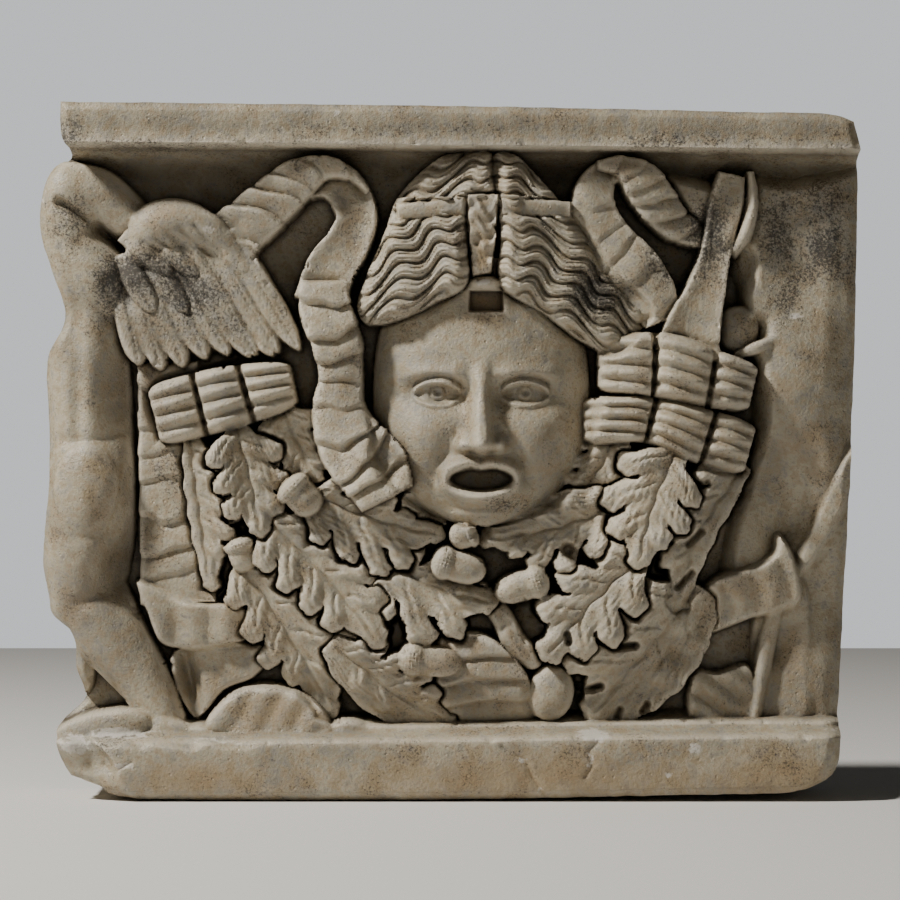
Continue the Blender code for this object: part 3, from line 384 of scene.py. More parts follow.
def boss(board, centre, half, level, rise, angle=0.0, blend=4.0, moat=0.0):
    """An oval lump with this height at its rim and this rise at its middle."""
    index, x, z = board.near(np.array([centre]), max(half) + 8)
    away = np.hypot(*turned(x, z, centre, half, angle))
    surface, inside = level + rise * dome(away), (1 - away) * min(half)
    if moat:
        board.lay(index, surface, inside, moat=moat)
    else:
        board.grow(index, surface, inside, blend)


def hump(x, z, centre, half, angle=0.0):
    """A soft oval hump: 1 at its centre."""
    return bell(np.hypot(*turned(x, z, centre, half, angle)))


def pit(board, centre, half, depth, angle=0.0):
    """A soft hollow."""
    index, x, z = board.near(np.array([centre]), 2.4 * max(half))
    board.height[index] -= depth * hump(x, z, centre, half, angle)


def slot(board, path, half_width, depth, soft=2.0):
    """A drilled channel along a path."""
    curve = open_curve(path)
    index, b = board.beside(curve, half_width + soft + 3)
    away = np.hypot(b.off, b.past)
    board.height[index] -= depth * (1 - smooth(half_width - soft / 2, half_width + soft, away))


def drill(board, cuts):
    """Slots by half width, depth and softness, each along several paths."""
    for half_width, depth, soft, paths in cuts:
        for path in paths:
            slot(board, path, half_width, depth, soft)


def patch(board, outline, level, ridges=(20.0, 0.0, 0.0), tip=(0.0, 0.0), moat=5.0, edge=2.5):
    """A flat piece in an outline. Ridges are pitch, depth and angle; tip is its rise right and up."""
    curve = closed_curve(outline)
    index, x, z = board.near(curve, 10)
    pitch, depth, angle = ridges
    middle = curve.mean(axis=0)
    across, along = turned(x, z, (0, 0), (1, 1), angle)
    inside = inside_of(curve, x, z)
    phase = across / pitch + 0.10 * np.sin(along / 9)
    fold = 0.4 * pleat(phase) - 0.6 * np.cos(2 * math.pi * phase)
    surface = level + depth * (fold - 0.2) - 1.5 * (1 - smooth(0, 5, inside))
    surface += tip[0] * (x - middle[0]) / 30 + tip[1] * (z - middle[1]) / 30
    board.lay(index, surface, inside, edge=edge, moat=moat)


def swag_bed(x, z):
    """The rounded rope of leaves that the garland lies on, and the distance in from its edge."""
    b = Beside(open_curve(SWAG), x, z)
    half, crest = b.values
    return crest * dome(b.off / (half * 1.12)) ** 0.8, half - np.abs(b.off)


def oak_leaf(board, base, tip, widths, lobes, lift, bend, moat=18.0):
    """A lobed leaf. Widths are its reach left and right of its midrib; a negative one has no lobes."""
    base, tip = np.array(base, float), np.array(tip, float)
    middle = (base + tip) / 2 + bend * np.array([-(tip - base)[1], (tip - base)[0]])
    curve = open_curve([base, middle, tip], steps=24)
    index, x, z = board.near(curve, max(np.abs(widths)) + 12)
    b = Beside(curve, x + 0.7 * np.sin(z / 2.9 + x / 13), z + 0.7 * np.sin(x / 3.3 + z / 17))
    run, off, length = b.run, b.off, b.length
    share = run / length
    width = np.where(off > 0, *[0.55 * reach if reach > 0 else -reach for reach in widths])
    inside = width * dome(2 * share - 0.92) - np.abs(off)
    inside = np.minimum(inside, np.minimum(run, length - run))
    rise = np.zeros(x.shape)
    vein = bell(off / 1.4) * smooth(0.98, 0.86, share)
    for start, end_run, reach, radius in leaf_lobes(length, widths, lobes):
        # a finger from the midrib to the lobe's end, which has three blunt teeth
        ex, ez = end_run - start, reach
        part = np.clip(((run - start) * ex + off * ez) / (ex * ex + ez * ez), 0, 1)
        away = np.hypot(run - start - part * ex, off - part * ez)
        turn = np.arctan2((off - reach) * ex - (run - end_run) * ez,
                          (run - end_run) * ex + (off - reach) * ez)
        teeth = TOOTH * (np.cos(5 * turn) - 0.3) * smooth(0.9, 1.0, part)
        size = radius * (0.64 + 0.36 * part + teeth)
        inside = np.maximum(inside, size - away)
        finger = np.clip(1 - (away / size) ** 2, 0, 1) * smooth(0, 0.9, part)
        rise = np.maximum(rise, finger * (4.0 + 0.3 * np.cos(2 * away) * (1 - part**4)))
        vein = np.maximum(vein, 0.8 * bell(away / 1.2) * smooth(0.02, 0.2, part) * smooth(1.0, 0.8, part))
    bed = np.maximum(swag_bed(x, z)[0], 20)
    ripple = 0.8 * np.sin(run / 11 + off / 13) * np.clip(np.abs(off) / 20, 0, 1)
    ripple += 0.45 * np.cos(VEINS * off / (run + 30)) * smooth(3, 9, np.abs(off))
    fold = 2.6 * (1 - bell(off / 8)) * (1 - share)
    surface = bed + lift + rise + ripple + fold - LEAF_CURL * share**2 - 2.2 * vein
    board.lay(index, surface - 0.8 * (1 - smooth(0, 1.5, inside)), inside, edge=1.0, moat=moat, width=2.4)


def leaf_lobes(length, widths, lobes):
    """The end lobe, then each side lobe: its start along the midrib, its end, its reach and its radius."""
    radius = length * 0.28 / lobes
    found = [(length * 0.6, length - radius, 0.0, radius)]
    for side, width in ((1, widths[0]), (-1, widths[1])):
        for k in range(lobes):
            place = (k + 0.25 + 0.3 * (side > 0)) / lobes
            uneven = 1 + 0.09 * math.sin(5 * k + 3 * side + length)
            reach = uneven * abs(width) * (1.08 - 0.75 * (place - 0.42) ** 2 - 0.5 * place**6) - radius
            reach *= 1.0 if width > 0 else 0.62
            if reach > radius * (0.4 if width > 0 else 1.0):
                start = 0.72 * place * length
                end_run = min(start + 0.62 * reach + 0.05 * length, length - radius)
                found.append((start, end_run, side * reach, radius))
    return found


def acorn(board, centre, length, radius, angle, level):
    """A nut in its cup, pointing along an angle in degrees."""
    index, x, z = board.near(np.array([centre]), length)
    u, v = turned(x, z, centre, (1.0, 1.0), angle)
    nut = (np.abs(u / (length / 2)) ** 2.6 + np.abs(v / radius) ** 2.1) ** 0.45
    board.lay(index, level + radius * dome(nut), (1 - nut) * radius, moat=4)
    middle, brim = length * (CUP - 1) / 2, length * (CUP * 0.95 - 0.5)
    shell = np.hypot((u - middle) / (length * CUP * 0.62), v / (radius * 1.12))
    surface = level + 1.2 + radius * 1.1 * dome(shell)
    surface += 0.7 * np.sin((u + v) * 1.3) * np.sin((u - v) * 1.3)
    board.lay(index, surface, np.minimum((1 - shell) * radius, brim - u))


def feather(board, base, tip, half, level, drop):
    """A feather with its shaft, its barbs and a blunt tip, lower by a drop there."""
    index, b = board.beside(straight(base, tip), half + 5)
    share = b.run / b.length
    outline = half * np.clip(1 - np.clip((share - 0.5) / 0.5, 0, 1) ** 3.0, 0, 1) ** 0.6
    inside = np.minimum(np.minimum(outline - np.abs(b.off), b.length - b.run), b.run + 2)
    surface = level - drop * share - 6 * (1 - smooth(0, 0.45, share)) + 2.4 * (1 - (b.off / half) ** 2)
    surface -= 0.8 * bell(b.off / 1.0) * smooth(0.1, 0.4, share) + 1.2 * (1 - smooth(0, 2.5, inside))
    surface += 0.6 * flute((b.run - 1.4 * np.abs(b.off)) / 4.5) * smooth(0.2, 0.5, share)
    board.lay(index, surface, inside, edge=1.4, moat=1.6, width=2.5, floor=6)


def roll(board, stations, slots, moat=10.0):
    """A bound roll through stations of x, z, half height and crest. Slots are shares of length and slants."""
    curve = open_curve(stations)
    index, b = board.beside(curve, curve[:, 2].max() + 12)
    half, level = b.values
    to_end = np.minimum(b.run, b.length - b.run)
    round_end = 0.72 + 0.28 * dome(np.clip(1 - to_end / 14, 0, 1))
    inside = np.minimum(half * round_end - np.abs(b.off), to_end)
    across = np.clip(b.off / half, -1, 1)
    surface = level - 14 * (1 - dome(across * 0.95)) - 9 * (1 - dome(np.clip(1 - to_end / 18, 0, 1)))
    wander = 0.16 * np.sin(b.run / 27 + stations[0][1]) + 0.03 * np.sin(b.run / 8)
    folds = (1 - across) / 2 * (FLUTES + wander)
    surface += 5.5 * flute(folds) + 0.8 * np.sin(2.1 * folds + b.run / 40) - 3.2
    for share, slant in slots:
        gap = np.abs(b.run - share * b.length - slant * b.off)
        surface -= 12 * (1 - smooth(0.8, 2.8, gap)) + 5.0 * bell(gap / 8)
    board.lay(index, surface, inside, moat=moat)


def carve_slab(board):
    """The fascia and its hollow underside, the ground, and the base with its sloping ledge."""
    x, z = board.x, board.z
    lower = FASCIA_FOOT - 0.009 * (x + 270)
    soffit = 0.72 * FASCIA_RISE * np.clip((z - lower + 28) / 28, 0, 1) ** 2.4
    face = FASCIA_RISE - 1.6 * bell((z - lower - 9) / 6)
    top = soffit + (face - soffit) * smooth(-2.5, 1.0, z - lower)
    rise = z - LEDGE - 4 * smooth(-200, 250, x)
    base = (BASE_RISE - 22 * smooth(-1, 8, rise)) * smooth(17, 8, rise)
    # the lower left corner is broken away, and the lower right one worn round
    crumble = np.sin(x / 9 + z / 23) + np.sin(z / 7 - x / 31) + np.sin((x + z) / 5.3)
    crumble += np.sin((x - 2 * z) / 13)
    crumble += 0.6 * np.sin((2 * x + z) / 6.1)
    broken = -(x + 224) - 0.6 * (z + 243) + 1.5 * crumble
    lost = np.clip(broken, 0, None) * 0.36 + (5 + 0.9 * crumble) * smooth(-2, 4, broken)
    chipped = smooth(-208, -203, z + crumble) * smooth(-120, -150, x + 3 * crumble)
    worn = np.hypot(np.clip(x - 232, 0, None), np.clip(-208 - z, 0, None))
    for loss in (lost, (4 + 0.5 * crumble) * chipped, 12 * smooth(29, 48, worn)):
        base -= np.where(z < DAMAGE_TOP, loss, 0)
    board.height = np.maximum(board.height, np.maximum(top, base))


def carve_right_mass(board):
    """The worn figure at the right, which is a broken mass with the end of its gown below."""
    outline = closed_curve(RIGHT_MASS)
    index, x, z = board.near(outline, 14)
    inside = inside_of(outline, x, z)
    level = MASS_RISE + 3 * np.sin((x - 205) / 22) * np.sin((z + 10) / 36) - 9 * smooth(262, 290, x)
    level -= 9 * smooth(60, -40, z) + 6 * smooth(-70, -110, z)
    level += 1.6 * np.sin(x / 13 + z / 29) + 1.2 * np.sin(z / 17 - x / 31)
    board.grow(index, level * smooth(-2, 12, inside) ** 0.7, inside + 2, blend=6, edge=4)
    slot(board, [(206, 134), (204, 118), (194, 100)], 5, 16, soft=8)
    slot(board, [(196, 70), (208, 76), (214, 88)], 2.5, 8, soft=6)
    pit(board, (216, 83), (6, 9), 15, -30)
    limb(board, [(203, 67, 3.5, 40), (216, 72, 4.5, 43), (232, 79, 2.5, 38)], blend=2)
    boss(board, (203, 85), (15, 17), MASS_RISE - 10, 12, blend=12)
    # the upright fold below it, and its bent end
    patch(board, [(216, -190), (217, -110), (250, -92), (254, -150),
                  (252, -190)], 24, tip=(6, 0), moat=0, edge=4)
    patch(board, [(290, 12), (280, -2), (262, -38), (246, -74), (241, -92), (250, -88), (266, -66),
                  (282, -34), (294, -4)], 30, (30, 0, 0), (1, 1), moat=4, edge=6)
    pit(board, (238, -56), (11, 26), 12, -24)


def carve_right_gown(board):
    """The cloth that crosses below the garland's right end, and its fluted foot."""
    pit(board, (202, -142), (30, 14), 16, 8)
    patch(board, [(171, -191), (172, -158), (190, -157), (212, -153), (214, -190)], 29, (16, 2, 60), (-4, 3),
          moat=3)
    ribbon(board, [(230, -112, 6, 26), (223, -145, 6, 25), (215, -190, 5, 26)], crown=4, moat=0,
           over=False)
    patch(board, [(171, -134), (174, -112), (180, -96), (192, -88), (214, -82), (228, -73), (232, -60),
                  (241, -72), (248, -98), (243, -110), (216, -118), (190, -128)], 39, (22, 1.8, 8), (-3, 5),
          moat=2, edge=5)


def carve_boy(board):
    """The winged boy at the left, seen from behind, with his arm bent over his head."""
    boss(board, (-264, -150), (12, 24), 14, 12, 8, blend=6)
    limb(board, [(-257, 126, 33, 43), (-260, 90, 30, 39), (-257, 50, 31, 41), (-255, 10, 31, 42),
                 (-256, -26, 34, 48), (-258, -66, 34, 49), (-258, -98, 30, 44), (-246, -122, 28, 43),
                 (-231, -144, 23, 41), (-214, -168, 19, 39), (-203, -190, 16, 38)], 8)
    boss(board, (-241, 116), (15, 24), 30, 10, 30, blend=12)
    pit(board, (-265, 98), (9, 26), 5)
    pit(board, (-262, 30), (5, 44), 3)
    slot(board, [(-284, 8), (-262, 6), (-240, 9), (-226, 14)], 1.5, 2.5, soft=7)
    boss(board, (-256, -26), (23, 31), 36, 12, blend=14)
    slot(board, [(-280, -58), (-262, -62), (-240, -56), (-230, -48)], 1.0, 2.0, soft=7)
    pit(board, (-252, -104), (20, 6), 3, 25)
    limb(board, [(-257, 122, 29, 41), (-268, 150, 25, 43), (-270, 178, 22, 44)], 9)
    limb(board, [(-269, 183, 21, 44), (-246, 178, 19, 42), (-222, 156, 16, 36)], 4)
    slot(board, [(-274, 174), (-258, 163), (-244, 152), (-232, 144)], 1.2, 8, soft=5)
    slot(board, [(-248, 154), (-232, 143)], 3.0, 12, soft=6)
    pit(board, (-231, 145), (6, 5), 10, -40)
    pit(board, (-231, -78), (15, 27), 17, -8)
    pit(board, (-236, 34), (13, 26), 9)
    pit(board, (-240, -176), (8, 15), 14, 24)
    boss(board, (-196, -197), (20, 9), 34, 8, -15)
    boss(board, (-246, -196), (36, 13), 40, 8, 12, blend=8)
    slot(board, [(-192, -140), (-186, -160), (-177, -188)], 1.5, 10, soft=4)


def carve_wing(board):
    """The long feathers, two rows of short ones over them, and the round front edge of the wing."""
    outline = closed_curve(WING)
    index, x, z = board.near(outline, 8)
    inside = inside_of(outline, x, z)
    swell = WING_RISE + 5 * bell((x + 190) / 40) - 5 * smooth(-150, -110, x)
    board.lay(index, swell * smooth(-3, 10, inside) ** 0.4, inside, moat=3)
    for k in range(8):
        share = k / 7
        root = (-232 + 62 * share, 122 + 32 * share)
        tip = (-219 + 110 * share, 60 + 4 * math.sin(5 * k) + 15 * share**3)
        feather(board, root, tip, 10.5 - 1.5 * share, WING_RISE + 1 + 2.5 * share, 1)
    for k in range(4):
        tip = (-208 + 23 * k, 97 + 3 * k + 4 * math.sin(4 * k))
        feather(board, (-232 + 17 * k, 136 + 5 * k), tip, 8.5, WING_RISE + 3, 0.5)
    for k in range(4):
        tip = (-196 + 18 * k, 124 - k + 3 * math.sin(3 * k))
        feather(board, (-228 + 16 * k, 152 + 3 * k), tip, 8, WING_RISE + 5, 0.5)
    for k in (2, 1, 0):
        feather(board, (-156 - 13 * k, 152 - 3 * k), (-106 - 15 * k, 70 - 2 * k), 9, WING_RISE + 7 - k, 4)
    limb(board, [(-218, 140, 11, 42), (-208, 156, 18, 48), (-190, 160, 17, 49), (-170, 153, 13, 47),
                 (-156, 142, 8, 43), (-146, 128, 5, 41)], blend=8)
    for k in range(5):
        slot(board, [(-216 + 9 * k, 146 + 3 * k), (-203 + 11 * k, 140 - k)], 0.6, 1.6, soft=2)


def carve_left_gown(board):
    """The pleated ends of cloth between the boy and the garland, and on the base."""
    ribbon(board, [(-200, 62, 22, 22), (-198, 0, 23, 26), (-195, -50, 25, 29), (-192, -108, 27, 29)],
           pitch=22, depth=4.0, crown=0, moat=0, turn=0.12)
    patch(board, [(-196, -142), (-182, -190), (-160, -170), (-138, -160),
                  (-128, -138)], 26, tip=(3, 0), moat=0)
    pit(board, (-184, -164), (6, 26), 16, 12)
    patch(board, [(-222, -92), (-205, -98), (-186, -106), (-165, -107), (-150, -107), (-138, -118),
                  (-136, -132), (-160, -138), (-185, -141), (-205, -136), (-215, -114)],
          37, (24, 1.8, 12), (2, 5), moat=2, edge=5)
    patch(board, [(-172, -194), (-165, -180), (-150, -168), (-130, -165), (-106, -169), (-91, -179),
                  (-84, -191), (-90, -203), (-150, -204)], 44, (19, 1.2, 146), (2, -3), moat=2, edge=4)
    boss(board, (-72, -196), (14, 8), 40, 7, blend=3)


def carve_garland(board):
    """Oak leaves and acorns on the rope of the garland, from the lowest layer to the highest."""
    curve = open_curve(SWAG)
    index, x, z = board.near(curve, 56)
    level, inside = swag_bed(x, z)
    board.lay(index, level - 20, inside, edge=4)
    for leaf in LOW_LEAVES:
        oak_leaf(board, *leaf, moat=9)
    drill(board, LEAF_CUTS)
    carve_band(board)
    limb(board, [(22, -100, 7, 40), (36, -117, 8, 42), (45, -135, 9, 43), (58, -147, 8, 41)], 4)
    slot(board, [(28, -106), (42, -126), (58, -148)], 0.8, 1.5, soft=4)
    pit(board, (38, -124), (5, 3), 2.5, 40)
    boss(board, (71, -171), (17, 20), 32, 12, -12, moat=3)
    for leaf in HIGH_LEAVES:
        oak_leaf(board, *leaf)
    drill(board, LEAF_HOLES)
    for nut in ACORNS:
        acorn(board, *nut)


def carve_band(board):
    """The cloth band round the lowest part of the garland."""
    outline = closed_curve([(-30, -148), (-12, -134), (10, -128), (28, -131), (44, -144), (56, -161),
                            (58, -178), (58, -191), (6, -192), (-26, -188)])
    index, x, z = board.near(outline, 8)
    inside = inside_of(outline, x, z)
    bed = swag_bed(x, z)[0]
    down = (0.12 * (x - 30) - z - 131) / 16 + 0.10 * np.sin(x / 12)
    surface = bed + 8 + 4.5 * pleat(down) + 1.2 * np.sin(x / 9 + z / 6)
    board.lay(index, surface - 1.5 * (1 - smooth(0, 4, inside)), inside, moat=6)


def carve_ribbons(board):
    """The ribbons that the garland hangs from, each turned over once at its top."""
    ribbon(board, [(-104, 182, 6, 38), (-88, 188, 11, 40), (-73, 182, 15, 43), (-66, 164, 15, 44),
                   (-72, 145, 16, 45), (-84, 127, 18, 46), (-93, 102, 18, 47)],
           crown=-3, moat=8)
    ribbon(board, [(-164, 142, 20, 34), (-150, 153, 20, 39), (-128, 172, 18, 45), (-107, 190, 15, 49),
                   (-88, 198, 9, 50), (-70, 194, 5, 48), (-58, 182, 2, 45)],
           pitch=19, depth=4.5, moat=4, turn=0.6)
    ribbon(board, [(-88, 118, 17, 46), (-88, 100, 19, 49), (-80, 76, 18, 49), (-77, 52, 16, 46),
                   (-78, 30, 19, 50), (-70, 6, 24, 55), (-54, -14, 26, 60), (-44, -34, 20, 61)],
           pitch=19, depth=5.5, moat=2)
    ribbon(board, [(127, 197, 5, 44), (110, 194, 11, 46), (101, 179, 15, 47), (103, 160, 18, 46),
                   (113, 141, 21, 46), (128, 125, 22, 46), (141, 109, 19, 45), (149, 90, 13, 44)],
           pitch=22, depth=3, moat=8)
    ribbon(board, [(104, 200, 4, 50), (120, 199, 8, 51), (134, 189, 15, 50), (146, 173, 15, 45),
                   (160, 158, 12, 39), (180, 149, 8, 34)], pitch=14, depth=4, turn=-0.4)
    # the strap from the lost figure's hand down to the rolls, and the fold beside it
    ribbon(board, [(199, 194, 10, 42), (194, 172, 12, 43), (188, 142, 11, 45), (181, 115, 14, 48),
                   (171, 86, 20, 50), (167, 66, 24, 50)], crown=-3)
    ribbon(board, [(212, 196, 3, 38), (213, 172, 4, 42), (208, 152, 5, 42), (199, 138, 4, 36)],
           crown=4, moat=5, over=False)


def carve_face(board):
    """The mask's face, drawn by rule: equal thirds from hairline to chin, five eyes' width across."""
    third, eye = FACE_HEIGHT / 3, FACE_HALF * 2 / 5
    chin = FACE_CHIN
    nose, brow = chin + third, chin + 2 * third
    index, x, z = board.near(np.array([(FACE_MIDDLE, chin + FACE_HEIGHT / 2)]), 110)
    u, v = x - FACE_MIDDLE, z
    low = np.clip((brow - 20 - v) / (brow - 20 - chin), 0, 1)
    half = FACE_HALF * np.sqrt(np.clip(1 - low**2.3, 0, 1)) * dome(np.clip((v - brow + 12) / 130, 0, 1))
    inside = np.minimum(half - np.abs(u), v - chin)
    side = np.abs(u)
    across = np.clip(side / np.maximum(half, 1), 0, 1)
    surface = 8 + (MASK_RISE - 8) * dome(across * 0.99) ** 0.8 * (1 - 0.22 * ((v - brow + 12) / 80) ** 2)
    carve_eyes(surface, side, v, eye, brow)
    carve_nose(surface, side, v, eye, nose, brow)
    carve_mouth(surface, u, v, eye, nose, chin)
    board.lay(index, surface, inside, moat=12, width=6)
    hole = np.maximum(np.abs(x - SOCKET[0]) / SOCKET[2], np.abs(z - SOCKET[1]) / SOCKET[3])
    board.height[index] -= SOCKET_DEPTH * (1 - smooth(0.86, 1.02, hole))


def carve_eyes(surface, side, v, eye, brow):
    """Brows, sockets, lids and eyeballs, the same on both sides."""
    centre = brow - eye * 0.42
    surface -= 7 * hump(side, v, (15, centre), (8, 9))
    surface -= 9 * hump(side, v, (eye + 3, centre), (23, 11))
    arch = brow + 2 - 5 * ((side - 1.1 * eye) / (1.2 * eye)) ** 2
    surface += 4.0 * bell((v - arch) / 6) * smooth(4, 20, side) * smooth(64, 44, side)
    share = (side - eye) / (eye * 0.54)
    ball = np.hypot(share, (v - centre) / 11.5)
    np.maximum(surface, np.where(ball < 1, MASK_RISE - 21 + 13 * dome(ball), -99), out=surface)
    opening = np.clip(1 - share**2, 0, 1)
    upper, lower = centre + 6.4 * opening**0.7 - 0.5, centre - 5.6 * opening**0.9 - 0.5
    lids = 5.0 * bell((v - upper - 2.2) / 2.3) + 3.4 * bell((v - lower + 1.8) / 2.0)
    lids -= 3.0 * bell((v - upper - 6.8) / 1.7)
    surface += np.where(np.abs(share) < 1.12, lids * smooth(1.12, 0.9, np.abs(share)), 0)
    iris = np.hypot(side - eye, v - centre - 0.8)
    seen = (v < upper) & (v > lower)
    surface -= np.where(seen, 1.2 * bell((iris - 5.6) / 0.9) + 3.0 * bell(iris / 2.0), 0)


def carve_nose(surface, side, v, eye, nose, brow):
    """A straight nose as wide as an eye, with round wings, and cheeks beside it."""
    run = np.clip((brow - v) / (brow - nose - 6), 0, 1)
    below = smooth(nose - 4, nose + 3, v)
    half, wing = 6.0 + 3.0 * run, eye * 0.43
    surface += (5 + 18 * run**1.3) * np.exp(-(side / half) ** 3) * below * smooth(brow + 18, brow - 8, v)
    surface += 5 * hump(side, v, (0, nose + 6), (9, 7)) * below
    surface += 12 * hump(side, v, (wing, nose + 5), (4.6, 5.5)) * below
    surface -= 3 * hump(side, v, (wing + 4, nose + 8), (2.2, 7))
    surface -= 7 * hump(side, v, (6.5, nose), (3.2, 2.4))
    surface += 7 * hump(side, v, (41, nose + 9), (19, 20))
    surface -= 4 * bell(np.hypot((side - 26 - 0.4 * (nose - v)) / 5.5, (v - nose + 5) / 15))
    surface -= 1.8 * bell(side / 2.6) * smooth(nose - 3, nose - 6, v) * smooth(nose - 14, nose - 9, v)


def carve_mouth(surface, u, v, eye, nose, chin):
    """The round open mouth of a stage mask, its lips a ring round it, and the chin."""
    centre = nose - (nose - chin) * 0.37
    half, tall = eye * 0.72, 8.5
    w = v - centre + 1.8 * bell(u / 5) * (v > centre)
    f = (u / half) ** 2 + (w / tall) ** 2
    slope = 2 * np.hypot(u / half**2, w / tall**2) + 1e-6
    out = (f - 1) / slope
    surface += 7.5 * bell((np.clip(out, -1, None) - 3.2) / 3.2) + 2.5 * bell(out / 12)
    surface -= MOUTH_DEPTH * smooth(0.8, -2.2, out)
    surface -= 4 * hump(u, v, (0, centre - 19.5), (20, 3.4))
    surface += 8 * hump(u, v, (0, chin + 13), (18, 9.5))


def carve_hair(board):
    """Two masses of waved locks combed from the parting, with a fillet and a broken top-knot."""
    for side, outline, parting in ((-1, HAIR_LEFT, PARTING[0]), (1, HAIR_RIGHT, PARTING[1])):
        curve = closed_curve(outline)
        index, x, z = board.near(curve, 10)
        inside = inside_of(curve, x, z)
        start = np.where(z > KNOT_TOP, CROWN_PARTING, parting)
        run = np.clip(side * (x - start), 0, None)
        surface = MASK_RISE + 4 - hair_fall(run) - 9 * smooth(160, 212, z) + 4 * smooth(26, 0, run)
        phase = run / LOCK_CURL + 1.3 * np.sin(z / 14 + side) + 0.4 * np.sin(run / 13)
        wave = LOCK_WAVE * np.sin(phase) * smooth(0, 16, run) * smooth(0, 10, inside + 6)
        strand = (z + 34 * (run / 75) ** 1.5 + wave) / LOCK_PITCH + 0.25 * np.sin(run / 23 + z / 31)
        lock = 5.4 * lock_profile(strand) - 3.5 + 2.2 * flute(3 * strand + 0.2) - 1.4 * np.cos(phase)
        surface += lock - 9 * (1 - smooth(0, 12, inside)) ** 2
        board.lay(index, surface, inside, moat=7, width=3)
        fillet = straight((parting, 170), (parting + side * 49, 168 + side))
        index, b = board.beside(fillet, 12)
        inside = np.minimum(5.5 - np.abs(b.off), np.minimum(b.run, b.length - b.run))
        surface = MASK_RISE + 5 - hair_fall(np.clip(b.run, 0, None)) - 0.04 * b.off**2
        board.lay(index, surface, inside, moat=5, width=2)
    knot = np.array([(12, 179), (34, 179), (33, 150), (29, 124), (16, 122), (13, 146)], float)
    index, x, z = board.near(knot, 6)
    rough = 1.6 * np.sin(x / 2.3 + 2 * np.sin(z / 5.1)) * np.sin(z / 3.7 + x / 6.1)
    rough += np.sin(z / 1.9 + 3 * np.sin(x / 3.3))
    board.lay(index, MASK_RISE + 4 + rough, inside_of(knot, x, z), moat=8, width=2)
    boss(board, (25, 117), (11, 5), MASK_RISE - 6, 6, blend=3)


def hair_fall(run):
    """How far the hair falls back at a run from its parting."""
    return 22 * (run / 110) ** 1.6


def lock_profile(phase):
    """A lock that rises slowly and falls steeply on its lower side, one for each whole number."""
    part = phase - np.floor(phase)
    rise = np.sin(np.clip(part / 0.24, 0, 1) * math.pi / 2)
    fall = np.cos(np.clip((part - 0.24) / 0.76, 0, 1) * math.pi / 2)
    return np.where(part < 0.24, rise**1.4, np.clip(fall, 0, 1) ** 0.7)


def carve(board):
    """The whole front, from the farthest forms to the nearest."""
    carve_slab(board)
    carve_right_mass(board)
    carve_boy(board)
    carve_left_gown(board)
    carve_right_gown(board)
    carve_garland(board)
    carve_ribbons(board)
    carve_wing(board)
    roll(board, LEFT_ROLL, [(0.33, 0), (0.66, -0.06)])
    roll(board, RIGHT_LOW_ROLL, [(0.39, 0.1), (0.74, 0.02)])
    roll(board, RIGHT_HIGH_ROLL, [(0.355, -0.07), (0.726, -0.09)], moat=5)
    carve_face(board)
    carve_hair(board)
    carve_slab(board)
    for path in BASE_CRACKS:
        slot(board, path, 0.6, 1.4, soft=1.8)


